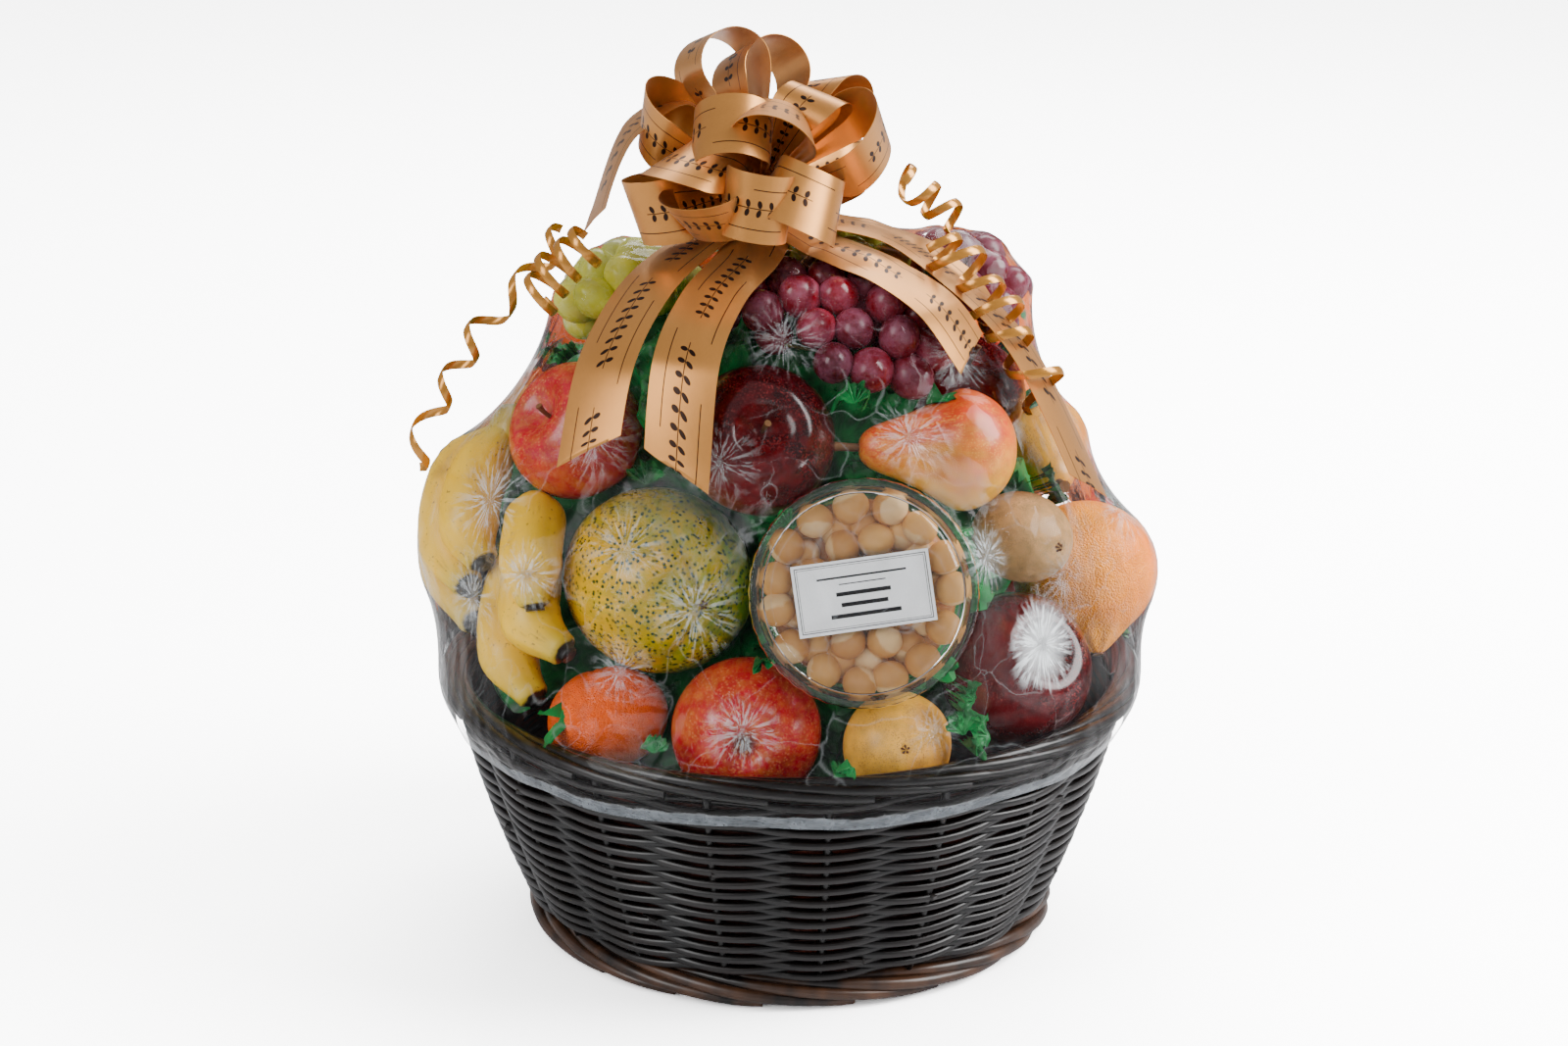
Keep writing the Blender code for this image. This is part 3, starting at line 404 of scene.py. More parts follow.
def fruitSkin():
    # Colour over a fruit's own space: a ground, a blush on one side, streaks from stem to eye,
    # specks and a near-black painted shade in the eye hole; the height adds pores, in thousandths of a metre.
    tree, given = newGroup("fruitSkin", {
        "Ground": (0.8, 0.6, 0.2, 1.0), "Blush": (0.6, 0.1, 0.1, 1.0), "BlushShare": 0.5,
        "StreakShare": 0.5, "Speck": (0.9, 0.8, 0.6, 1.0), "SpeckShare": 0.2, "SpeckScale": 20.0,
        "SpeckEven": 0.30, "PoreScale": 60.0, "PoreDepth": 0.1, "Shine": 0.3,
        "Ends": (0.5, 0.5, 0.1, 1.0), "EndShare": 0.0})
    space = carried(tree, "fruitSpace")
    shift = even(tree, carried(tree, "fruitSeed", "Fac"))
    moved = wire(tree, "VectorMath", {0: space, 1: shift}, operation="ADD").outputs[0]
    rise = split(tree, space)["Z"]
    side = wire(tree, "VectorMath", {0: space, 1: (0.75, 0.55, 0.1)},
                operation="DOT_PRODUCT").outputs["Value"]
    patch = noise(tree, moved, 1.6, 3.0)
    blush = plus(tree, side, times(tree, patch, 1.9))
    blush = ranged(tree, plus(tree, blush, times(tree, given["BlushShare"], 3.0)), 1.8, 3.1)
    streak = ranged(tree, noise(tree, moved, 9.0, 4.0, 0.65, (1.0, 1.0, 0.12)), 0.40, 0.66)
    covered = minus(tree, blush, times(tree, streak, given["StreakShare"]))
    ends = ranged(tree, absolute(tree, rise), 0.70, 1.0)
    ground = mixed(tree, times(tree, ends, given["EndShare"]), given["Ground"], given["Ends"])
    color = mixed(tree, covered, ground, given["Blush"])
    # Painted shade: the eye hole is painted near-black where the pit lies in shade, over the dark dried
    # calyx.
    eyeHoleShade = ranged(tree, rise, -0.998, -0.985, 0.9, 0.0)
    color = mixed(tree, times(tree, eyeHoleShade, given["EndShare"]), color, (0.02, 0.012, 0.006, 1.0))
    color = shaded(tree, color, ranged(tree, noise(tree, moved, 4.0, 4.0), 0.3, 0.7, 0.82, 1.14))
    blotch = plus(tree, ranged(tree, noise(tree, moved, 3.0, 2.0), 0.42, 0.62), given["SpeckEven"])
    spot = cells(tree, moved, given["SpeckScale"])["Distance"]
    speck = times(tree, ranged(tree, spot, 0.26, 0.40, 1.0, 0.0), given["SpeckShare"])
    color = mixed(tree, times(tree, speck, blotch), color, given["Speck"])
    height = times(tree, cells(tree, moved, given["PoreScale"])["Distance"], given["PoreDepth"])
    rough = plus(tree, given["Shine"], times(tree, patch, 0.12))
    return groupResult(tree, color, rough, height)


def woodGrain():
    # Lacquered willow: dark, with fine grain along the rod, worn bronze on what stands proud.
    tree, given = newGroup("woodGrain", {
        "Ground": (0.02, 0.015, 0.01, 1.0), "Worn": (0.12, 0.06, 0.03, 1.0), "WearShare": 0.4,
        "Shine": 0.35})
    line = carried(tree, "rodSpace")
    grain = noise(tree, line, 1.0, 5.0, 0.6, (14.0, 2200.0, 2200.0))
    patch = noise(tree, line, 1.0, 3.0, 0.6, (24.0, 130.0, 130.0))
    proud = times(tree, carried(tree, "proud", "Fac"), 0.22)
    wear = times(tree, ranged(tree, plus(tree, patch, proud), 0.48, 0.80), given["WearShare"])
    color = mixed(tree, wear, given["Ground"], given["Worn"])
    color = shaded(tree, color, ranged(tree, grain, 0.35, 0.7, 0.7, 1.35))
    rough = plus(tree, given["Shine"], times(tree, grain, 0.22))
    height = times(tree, plus(tree, grain, patch), 0.16)
    return groupResult(tree, color, rough, height)


# The ribbon's print, in metres: its repeat, the two rules' places and half thickness, and the
# sprig's leaves.
ribbonPrint = {"repeat": 0.074, "leafPitch": 0.0062, "ruleRight": 0.0098, "ruleLeft": -0.0110,
               "rule": (0.00022, 0.00036), "stem": (0.00020, 0.00034), "leafFromStem": 0.0024,
               "leafLean": 0.0026, "leafHalf": 0.0021, "leafLong": 0.22}


def satinWeave():
    # Satin over a ribbon's own space, across and along in metres: fine threads, two thin rules
    # near the edges and a row of small sprigs between them, printed on one face.
    tree, given = newGroup("satinWeave", {
        "Ground": (0.6, 0.35, 0.15, 1.0), "Print": (0.06, 0.03, 0.015, 1.0), "PrintShare": 1.0,
        "Shine": 0.30})
    place = carried(tree, "ribbonSpace")
    parts = split(tree, place)
    across = absolute(tree, parts["X"])
    repeat = ribbonPrint["repeat"]
    cycle = computed(tree, "FRACT", computed(tree, "DIVIDE", parts["Y"], repeat))
    rules = []
    for key, gap in (("ruleRight", (0.60, 0.605, 1.0, 0.0)), ("ruleLeft", (0.34, 0.345))):
        line = ranged(tree, parted(tree, parts["X"], ribbonPrint[key]), *ribbonPrint["rule"], 1.0, 0.0)
        rules.append(times(tree, line, ranged(tree, cycle, *gap)))
    leafCycle = computed(tree, "FRACT", computed(tree, "DIVIDE", times(tree, cycle, repeat),
                                                 ribbonPrint["leafPitch"]))
    leafAlong = minus(tree, leafCycle, 0.5)
    leafAcross = minus(tree, across, ribbonPrint["leafFromStem"])
    leafAcross = minus(tree, leafAcross, times(tree, leafAlong, ribbonPrint["leafLean"]))
    wide = times(tree, leafAcross, 1.0 / ribbonPrint["leafHalf"])
    long = times(tree, leafAlong, 1.0 / ribbonPrint["leafLong"])
    leaf = ranged(tree, plus(tree, times(tree, wide, wide), times(tree, long, long)), 0.80, 1.0, 1.0, 0.0)
    stem = ranged(tree, across, *ribbonPrint["stem"], 1.0, 0.0)
    inSprig = times(tree, ranged(tree, cycle, 0.06, 0.065), ranged(tree, cycle, 0.84, 0.845, 1.0, 0.0))
    sprig = times(tree, computed(tree, "MAXIMUM", leaf, stem), inSprig)
    printed = computed(tree, "MAXIMUM", computed(tree, "MAXIMUM", *rules), sprig)
    face = ranged(tree, parts["Z"], 0.4, 0.6)
    printed = times(tree, times(tree, printed, face), given["PrintShare"])
    thread = noise(tree, place, 1.0, 2.0, 0.5, (5200.0, 420.0, 1.0))
    cloud = noise(tree, place, 1.0, 2.0, 0.5, (90.0, 30.0, 1.0))
    tone = plus(tree, times(tree, thread, 0.5), times(tree, cloud, 0.5))
    color = shaded(tree, given["Ground"], ranged(tree, tone, 0.3, 0.7, 0.90, 1.08))
    color = mixed(tree, printed, color, given["Print"])
    rough = plus(tree, given["Shine"], times(tree, thread, 0.14))
    return groupResult(tree, color, rough, times(tree, thread, 0.035))


def paperCrumple():
    # Thin paper: facets of crumple over the object's own space, with painted highlights that make some facets
    # and folds a lighter green.
    tree, given = newGroup("paperCrumple", {
        "Ground": (0.01, 0.2, 0.08, 1.0), "FoldHighlight": (0.05, 0.5, 0.25, 1.0), "CrumpleScale": 90.0,
        "Shine": 0.4})
    place = ownSpace(tree)
    facet = cells(tree, place, given["CrumpleScale"], "F2")["Distance"]
    cloud = noise(tree, place, 55.0, 3.0)
    # Painted highlight: the crumple's facets and folds blend from the ground towards a lighter green of the
    # same paper.
    share = ranged(tree, plus(tree, facet, cloud), 0.8, 1.5)
    color = mixed(tree, share, given["Ground"], given["FoldHighlight"])
    rough = plus(tree, given["Shine"], times(tree, cloud, 0.1))
    return groupResult(tree, color, rough, times(tree, facet, 1.1))


skinGroup = fruitSkin()
woodGroup = woodGrain()
satinGroup = satinWeave()
paperGroup = paperCrumple()
print("materials ready")


# Basket: stakes stand round the wall, and each weaver goes in front of one and behind the next.
basket = {"stakes": 18, "firstStake": 6.3, "rows": 31, "stakeRadius": 0.0024, "stakeSteps": 14,
          "weaverHalf": 0.0023, "weaverFlat": 0.86, "weaverSides": 8, "swing": 0.0026,
          "dip": 0.0016, "bottom": 0.0205, "top": 0.1360, "footRadius": 0.1445, "flare": 0.0385,
          "stepsPerStake": 12, "rodScale": 0.17, "liningInside": 0.0042,
          "pegRadius": 0.0019, "pegLength": 0.013, "pegLowest": 0.030, "pegSpread": 0.098}
# Each plait: the ring's radius, half its section, its middle's height, how many rods, how far
# each reaches round, its thickness, and the section's angles where it starts and ends.
plaits = {
    "footPlait": ((0.1370, (0.0085, 0.0062), 0.0092, 18, 74.0, 0.0034, (115.0, -62.0)),
                  (0.1365, (0.0060, 0.0048), 0.0062, 18, 66.0, 0.0029, (200.0, 20.0))),
    "rimPlait": ((0.1865, (0.0052, 0.0050), 0.1432, 22, 62.0, 0.0033, (150.0, -40.0)),
                 (0.1850, (0.0040, 0.0045), 0.1415, 22, 48.0, 0.0030, (230.0, 60.0))),
}


def wallRadius(height):
    # foot + flare (1.35 s - 0.35 s^2), with s the share of the wall's height.
    share = (height - basket["bottom"]) / (basket["top"] - basket["bottom"])
    return basket["footRadius"] + basket["flare"] * (1.35 * share - 0.35 * share ** 2)


def around(angle, radius, height):
    # A point at an angle from the front, clockwise seen from above.
    return np.stack((radius * np.sin(angle), -radius * np.cos(angle), height), -1)


def weavers():
    # Rows of weavers: wall radius + swing cos^0.75 of the beat between two stakes.
    shapes = []
    steps = basket["stakes"] * basket["stepsPerStake"]
    for row in range(basket["rows"]):
        share = (row + 0.5) / basket["rows"]
        level = basket["bottom"] + (basket["top"] - basket["bottom"]) * share
        angle = circle(steps)
        first = math.radians(basket["firstStake"])
        beat = np.cos((angle - first) * basket["stakes"] / 2.0 + math.pi * (row % 2))
        swing = np.sign(beat) * np.abs(beat) ** 0.75
        wander = waves(around(angle, 0.1, np.full(steps, 0.11 * row)), 0.09, 31 + row, 2)
        height = level - basket["dip"] * np.maximum(swing, 0.0) ** 1.5 + 0.0007 * wander
        radius = wallRadius(height) + basket["swing"] * swing
        uneven = waves(around(angle, 0.1, height * 9), 0.2, 77 + row, 1)
        girth = basket["weaverHalf"] * (1.0 + 0.10 * uneven)
        line = around(angle, radius, height)
        closed = np.vstack((line[-1:], line, line[:1]))
        along = unit(closed[2:] - closed[:-2])
        outward = unit(np.cross(along, upward))
        grid = tube(line, girth[:, None, None], outward, np.cross(outward, along), basket["weaverSides"],
                    basket["weaverFlat"])
        travelled = angle * basket["rodScale"] + row * 1.37
        across = np.cos(circle(basket["weaverSides"])) * basket["weaverHalf"]
        space = np.stack(np.broadcast_arrays(travelled[:, None], across[None], (across + row)[None]), -1)
        proud = np.broadcast_to(np.maximum(swing, 0.0)[:, None], grid.shape[:2])
        shapes.append(gridShape(np.concatenate((grid, grid[:1])),
                                {"rodSpace": np.concatenate((space, space[:1])),
                                 "proud": np.concatenate((proud, proud[:1]))}))
    return joined(shapes)


def stakes():
    # Upright rods that follow the wall's curve.
    shapes = []
    height = np.linspace(basket["bottom"] - 0.002, basket["top"] + 0.004, basket["stakeSteps"])
    for index in range(basket["stakes"]):
        angle = math.radians(basket["firstStake"] + 360.0 / basket["stakes"] * index)
        line = around(np.full(len(height), angle), wallRadius(height), height)
        shapes.append(rod(line, basket["stakeRadius"], lift=around(angle, 1.0, 0.0),
                          values=rodSpace(height, index, 0.0)))
    return joined(shapes)


def peg(angle, height, lean):
    # A short cut rod end that stands out of the weave.
    start = around(np.array(angle), wallRadius(height) - 0.001, np.array(height))
    tangent = around(np.array(angle + 0.5 * math.pi), 1.0, np.array(0.0))
    outward = around(np.array(angle), 1.0, np.array(0.0))
    way = unit(tangent * lean + outward * 0.42 + upward * 0.06)
    place = np.linspace(0.0, basket["pegLength"], 4)
    return rod(start + way * place[:, None], basket["pegRadius"], 7, values=rodSpace(place, angle, 1.0))


def plait(ring, half, middle, strands, span, thick, tilt):
    # A plaited border: each rod starts inside on top, lies over to the outside and ends below.
    shapes = []
    share = np.linspace(0.0, 1.0, 34)
    first, last = np.radians(tilt)
    turn = first + (last - first) * share ** 1.15
    for index in range(strands):
        angle = fullTurn * index / strands + math.radians(span) * share
        wander = 0.0007 * waves(around(angle, 0.1, np.full(len(share), index * 0.31)), 0.05, 11, 2)
        line = around(angle, ring + half[0] * np.cos(turn) + wander, middle + half[1] * np.sin(turn))
        girth = thick * (0.86 + 0.16 * np.sin(math.pi * share) + 0.08 * math.sin(index * 2.7))
        travelled = share * ring * math.radians(span) + index
        shapes.append(rod(line, girth, 9, values=rodSpace(travelled, index, 0.2 + 0.3 * np.cos(turn))))
    return joined(shapes)


def makeBasket():
    # The woven wall, its stakes and rod ends, the lining behind it and the two plaited borders.
    coat = {"Coat_Weight": 0.25, "Coat_Roughness": 0.28}
    willow = newMaterial("willow", woodGroup, {"Ground": tint(20, 18, 17), "Worn": tint(52, 38, 31),
                                               "WearShare": 0.45, "Shine": 0.22}, **coat)
    foot = newMaterial("willowFoot", woodGroup, {"Ground": tint(40, 31, 27), "Worn": tint(122, 88, 62),
                                                 "WearShare": 0.85, "Shine": 0.26}, **coat)
    inside = newMaterial("willowInside", woodGroup, {
        "Ground": tint(70, 32, 16), "Worn": tint(150, 72, 30), "WearShare": 0.9, "Shine": 0.5})
    piece("weave", weavers(), willow, ["basket_wall"])
    piece("stakes", stakes(), willow)
    count = basket["stakes"]
    pegs = [peg(math.radians(basket["firstStake"] + 20.0 * index + 4.0),
                basket["pegLowest"] + basket["pegSpread"] * ((index * 7) % count) / count,
                -1.0 if index % 2 else 1.0) for index in range(count)]
    piece("rodEnds", joined(pegs), willow, sharp=50)
    height = np.linspace(basket["bottom"], basket["top"], 12)
    radius = np.append(0.002, wallRadius(height) - basket["liningInside"])
    height = np.append(basket["bottom"], height)
    grid = around(*np.broadcast_arrays(circle(96)[None], radius[:, None], height[:, None]))
    space = np.stack(np.broadcast_arrays(circle(96) * basket["rodScale"], height[:, None],
                                         height[:, None]), -1)
    piece("lining", gridShape(grid, {"rodSpace": space, "proud": space[..., 0] * 0}), inside)
    for name, node, look in (("footPlait", "basket_foot_border", foot),
                             ("rimPlait", "basket_rim_border", willow)):
        piece(name, joined([plait(*facts) for facts in plaits[name]]), look, [node], sharp=50)
    print("basket ready")


makeBasket()


# Fruit: kind, half its width and the way its stem end points, as seen in the photograph.
fruit = {
    "mandarin": ("mandarin", 0.0325, (-0.25, 0.35, 0.90)),
    "apple_front": ("stripedApple", 0.0395, (0.02, 0.98, -0.15)),
    "pear_front": ("pear", 0.0290, (-0.15, 0.95, -0.28)),
    "dark_apple_right": ("darkApple", 0.0405, (0.49, -0.65, 0.58)),
    "tangelo": ("tangelo", 0.0400, (0.14, -0.50, -0.86)),
    "papaya": ("papaya", 0.0490, (-0.46, 0.88, -0.05)),
    "kiwi": ("kiwi", 0.0240, (-0.60, 0.79, -0.07)),
    "apple_left": ("stripedApple", 0.0370, (-0.69, -0.45, 0.56)),
    "dark_apple_middle": ("darkApple", 0.0395, (0.09, -0.85, 0.51)),
    "pear_lying": ("blushPear", 0.0325, (-0.99, -0.13, 0.06)),
    "pear_right": ("pear", 0.0290, (0.17, -0.97, -0.12)),
    "dark_apple_top": ("darkApple", 0.0365, (0.30, -0.20, 0.93)),
    "apple_back_low": ("stripedApple", 0.0375, (0.70, 0.50, 0.50)),
    "orange_back_low": ("orange", 0.0385, (0.30, 0.50, 0.80)),
    "apple_back_middle": ("darkApple", 0.0380, (-0.10, 0.80, 0.55)),
    "pear_back_low": ("pear", 0.0330, (0.40, -0.60, 0.65)),
    "orange_left_low": ("orange", 0.0370, (-0.30, 0.20, 0.93)),
    "orange_back": ("orange", 0.0390, (0.20, 0.30, 0.93)),
    "apple_back": ("stripedApple", 0.0385, (0.30, 0.70, 0.65)),
    "apple_back_left": ("darkApple", 0.0385, (-0.20, 0.75, 0.62)),
    "pear_back": ("blushPear", 0.0340, (-0.35, 0.10, 0.93)),
    "orange_top": ("orange", 0.0370, (0.10, 0.60, 0.79)),
    "apple_top": ("stripedApple", 0.0375, (0.05, 0.70, 0.71)),
    "mandarin_top": ("mandarin", 0.0310, (-0.30, 0.40, 0.86)),
}


def hollow(across, width, depth):
    # A soft pit: depth e^-(across/width)^2.
    return depth * np.exp(-(across / width) ** 2)


def appleForm(ways, lobes):
    # across^0.88 wide and 0.9 high, with pits at the stem and the eye and five lobes below.
    across = np.hypot(ways[..., 0], ways[..., 1])
    angle = np.arctan2(ways[..., 1], ways[..., 0])
    rise = ways[..., 2]
    low = np.maximum(-rise, 0.0)
    wide = across ** 0.88 * (1.0 + 0.07 * rise + lobes * low * np.cos(5 * angle))
    height = 0.90 * rise - np.where(rise > 0, hollow(across, 0.28, 0.36), -hollow(across, 0.19, 0.27))
    height = height - lobes * 1.2 * low * across * (1.0 + np.cos(5 * angle))
    scale = wide / np.maximum(across, 1e-6)
    return np.stack((ways[..., 0] * scale, ways[..., 1] * scale, height), -1)


def stripedApple(ways):
    # Faint lobes.
    return appleForm(ways, 0.02)


def darkApple(ways):
    # Strong lobes, as on a long red apple.
    return appleForm(ways, 0.05)


def citrus(ways, squash=0.93, pit=0.05):
    # A ball squashed along its stem, with a shallow pit and short creases round it.
    across = np.hypot(ways[..., 0], ways[..., 1])
    angle = np.arctan2(ways[..., 1], ways[..., 0])
    rise = ways[..., 2]
    crease = 0.012 * np.cos(9 * angle) * np.exp(-((across - 0.22) / 0.16) ** 2) * (rise > 0)
    height = squash * rise - np.where(rise > 0, hollow(across, 0.2, pit), 0.0) + crease
    return np.stack((ways[..., 0], ways[..., 1], height), -1)


def mandarin(ways):
    # A flatter citrus with a deeper pit.
    return citrus(ways, 0.84, 0.06)


def tangelo(ways):
    # A ball with a short neck at the stem.
    across = np.hypot(ways[..., 0], ways[..., 1])
    neck = np.where(ways[..., 2] > 0, hollow(across, 0.32, 0.22), 0.0)
    angle = np.arctan2(ways[..., 1], ways[..., 0])
    crease = 0.014 * np.cos(8 * angle) * np.exp(-((across - 0.34) / 0.18) ** 2) * (ways[..., 2] > 0)
    return np.stack((ways[..., 0], ways[..., 1], 0.96 * ways[..., 2] + neck + crease), -1)


def pear(ways):
    # A round body that draws in to a blunt neck, with a small pit at the eye.
    across = np.maximum(np.hypot(ways[..., 0], ways[..., 1]), 1e-6)
    rise = ways[..., 2]
    neck = smooth(-0.10, 0.85, rise)
    scale = (1.0 - 0.43 * neck) * across ** (-0.28 * neck)
    height = rise * (0.95 + 0.68 * neck) + np.where(rise < 0, hollow(across, 0.16, 0.10), 0.0)
    lumps = 1.0 + 0.012 * waves(ways, 1.3, 5, 2)
    return np.stack((ways[..., 0] * scale * lumps, ways[..., 1] * scale * lumps, height), -1)


def papaya(ways):
    # A blunt egg with five creases that meet at the blossom end.
    across = np.maximum(np.hypot(ways[..., 0], ways[..., 1]), 1e-6)
    angle = np.arctan2(ways[..., 1], ways[..., 0])
    low = smooth(0.35, 1.0, -ways[..., 2])
    crease = 0.055 * low * np.abs(np.cos(2.5 * angle)) ** 14
    scale = across ** -0.06 * (1.0 - crease)
    height = 1.15 * ways[..., 2] * (1.0 - 0.6 * crease)
    height = height + np.where(ways[..., 2] < 0, hollow(across, 0.10, 0.06), 0.0)
    return np.stack((ways[..., 0] * scale, ways[..., 1] * scale, height), -1)


def kiwi(ways):
    # A long ball, 1.28 high, with a shallow pit at each end.
    stretch = np.array((1.0, 1.0, 1.28))
    across = np.hypot(ways[..., 0], ways[..., 1])
    pits = np.where(np.abs(ways[..., 2]) > 0.5, hollow(across, 0.14, 0.07), 0.0) * np.sign(ways[..., 2])
    return ways * stretch - pits[..., None] * upward


forms = {"mandarin": mandarin, "stripedApple": stripedApple, "darkApple": darkApple, "pear": pear,
         "blushPear": pear, "papaya": papaya, "kiwi": kiwi, "orange": citrus, "tangelo": tangelo}
skins = {
    "mandarin": {"Ground": tint(252, 124, 0), "Blush": tint(242, 100, 0), "BlushShare": 0.35,
                 "StreakShare": 0.0, "SpeckShare": 0.35, "Speck": tint(214, 78, 14), "SpeckScale": 34.0,
                 "PoreScale": 34.0, "PoreDepth": 1.10, "Shine": 0.20},
    "orange": {"Ground": tint(238, 144, 4), "Blush": tint(232, 124, 4), "BlushShare": 0.3,
               "StreakShare": 0.0, "SpeckShare": 0.3, "Speck": tint(222, 112, 16), "SpeckScale": 40.0,
               "PoreScale": 40.0, "PoreDepth": 0.60, "Shine": 0.28},
    "tangelo": {"Ground": tint(255, 180, 0), "Blush": tint(255, 160, 0), "BlushShare": 0.3,
                "StreakShare": 0.0, "SpeckShare": 0.35, "Speck": tint(230, 122, 18), "SpeckScale": 36.0,
                "PoreScale": 36.0, "PoreDepth": 0.55, "Shine": 0.30},
    "stripedApple": {"Ground": tint(218, 158, 76), "Blush": tint(192, 34, 60), "BlushShare": 0.93,
                     "StreakShare": 0.26, "SpeckShare": 0.22, "Speck": tint(240, 178, 130),
                     "SpeckScale": 20.0, "PoreScale": 60.0, "PoreDepth": 0.03, "Shine": 0.18,
                     "Ends": tint(190, 180, 66), "EndShare": 0.9},
    "darkApple": {"Ground": tint(122, 6, 30), "Blush": tint(62, 0, 14), "BlushShare": 0.55,
                  "StreakShare": 0.55, "SpeckShare": 0.22, "Speck": tint(206, 104, 100),
                  "SpeckScale": 30.0, "PoreScale": 60.0, "PoreDepth": 0.02, "Shine": 0.12},
    "pear": {"Ground": tint(238, 190, 84), "Blush": tint(226, 160, 70), "BlushShare": 0.34,
             "StreakShare": 0.1, "SpeckShare": 0.55, "Speck": tint(176, 116, 46), "SpeckScale": 30.0,
             "PoreScale": 55.0, "PoreDepth": 0.05, "Shine": 0.30},
    "blushPear": {"Ground": tint(236, 186, 78), "Blush": tint(216, 88, 40), "BlushShare": 0.64,
                  "StreakShare": 0.22, "SpeckShare": 0.60, "Speck": tint(240, 190, 100),
                  "SpeckScale": 26.0, "PoreScale": 55.0, "PoreDepth": 0.05, "Shine": 0.26},
    "papaya": {"Ground": tint(212, 176, 10), "Blush": tint(124, 148, 18), "BlushShare": 0.66,
               "StreakShare": 0.40, "SpeckShare": 1.0, "SpeckEven": 0.75,
               "Speck": tint(40, 84, 20), "SpeckScale": 18.0,
               "PoreScale": 50.0, "PoreDepth": 0.05, "Shine": 0.22},
    "kiwi": {"Ground": tint(248, 208, 154), "Blush": tint(228, 182, 124), "BlushShare": 0.4,
             "StreakShare": 0.3, "SpeckShare": 0.5, "Speck": tint(112, 80, 46), "SpeckScale": 46.0,
             "PoreScale": 90.0, "PoreDepth": 0.9, "Shine": 0.75},
}
looks = {kind: newMaterial(kind + "Skin", skinGroup, values, Coat_Weight=0.15, Coat_Roughness=0.12)
         for kind, values in skins.items()}
bark = newMaterial("stemBark", woodGroup, {"Ground": tint(112, 78, 40), "Worn": tint(170, 128, 72),
                                           "WearShare": 0.8, "Shine": 0.6})
solidPoints = []


def shown(points):
    # Keeps what the film lies on.
    solidPoints.append(points)
    return points


def stemShape(root, way, length, width, bend):
    # A stem from its root, a little bent and thicker at its end.
    share = np.linspace(0.0, 1.0, 10)
    line = root + np.outer(share * length, way) + np.outer(share ** 2 * bend, (0.6, 0.3, 0.4))
    girth = width * (0.85 + 0.55 * share ** 3)
    return rod(line, girth, 9, lift=(0.2, 1.0, 0.1), values=rodSpace(share * length, 0.0, share))


def eyeShape(root, way, width):
    # The dried leaf tips of an apple's eye: short pointed rods that lean together.
    side = unit(np.cross(way, (0.3, 0.1, 1.0)))
    over = np.cross(way, side)
    shapes = []
    share = np.linspace(0.0, 1.0, 6)
    for index, about in enumerate(circle(5)):
        out = math.cos(about) * side + math.sin(about) * over
        line = root + np.outer(width * (1.0 - 0.75 * share), out) + np.outer(share * width * 1.1, way)
        shapes.append(rod(line, width * 0.34 * (1.0 - 0.8 * share), 6, lift=out,
                          values=rodSpace(share, index, 0.0)))
    return joined(shapes)


def makeFruit(name, kind, half, stemWay):
    # A skin from its kind's form, turned so that its stem end points the given way, and the
    # stem and eye at its ends.
    ways = ball(72, 96)
    local = forms[kind](ways) * half
    turned = local.reshape(-1, 3) @ turnTo(stemWay).T
    moved = turned + middleOf(name) - boxMiddle(turned)
    number = float(len(solidPoints))
    values = {"fruitSpace": ways, "fruitSeed": np.full(ways.shape[:2], number * 1.7)}
    shape = capped(shown(moved).reshape(local.shape), values)
    piece(name + "_skin", shape, looks[kind], [name])
    stemWay = unit(stemWay)
    columns = local.shape[1]
    top = moved[:columns].mean(0)
    end = moved[-columns:].mean(0)
    if "Apple" in kind:
        extras = [stemShape(top - stemWay * 0.001, stemWay, half * 0.32, 0.0014, 0.003),
                  eyeShape(end - stemWay * 0.0005, -stemWay, 0.0026)]
    elif kind in ("pear", "blushPear"):
        long = 0.028 if name == "pear_lying" else 0.012
        extras = [stemShape(top - stemWay * 0.004, stemWay, long, 0.0026, 0.002),
                  eyeShape(end, -stemWay, 0.0022)]
    elif kind in ("kiwi", "papaya"):
        extras = [eyeShape(end - stemWay * 0.0003, -stemWay, 0.0022),
                  stemShape(top - stemWay * 0.002, stemWay, 0.003, 0.0022, 0.0)]
    else:
        extras = [stemShape(top - stemWay * 0.0015, stemWay, 0.0022, 0.0024, 0.0)]
    ends = joined(extras)
    shown(ends["points"])
    piece(name + "_ends", ends, bark, sharp=50)


for fruitName, facts in fruit.items():
    makeFruit(fruitName, *facts)
print("fruit ready")


# Bananas: each finger's centre line from the crown to the tip.
bananas = {
    "banana_hand_left": (
        ((-0.152, -0.008, 0.286), (-0.169, -0.020, 0.262), (-0.174, -0.042, 0.240),
         (-0.164, -0.061, 0.223)),
        ((-0.154, -0.003, 0.284), (-0.182, -0.002, 0.254), (-0.186, -0.026, 0.224),
         (-0.172, -0.061, 0.209)),
        ((-0.152, 0.002, 0.282), (-0.184, 0.014, 0.242), (-0.189, 0.000, 0.203),
         (-0.169, -0.053, 0.184))),
    "banana_hand_front": (
        ((-0.137, -0.042, 0.252), (-0.136, -0.072, 0.250), (-0.137, -0.099, 0.237),
         (-0.134, -0.112, 0.216)),
        ((-0.137, -0.040, 0.246), (-0.138, -0.070, 0.224), (-0.137, -0.098, 0.206),
         (-0.116, -0.118, 0.193)),
        ((-0.137, -0.036, 0.240), (-0.150, -0.053, 0.204), (-0.151, -0.078, 0.180),
         (-0.134, -0.098, 0.158))),
}
fingerHalf = 0.0165


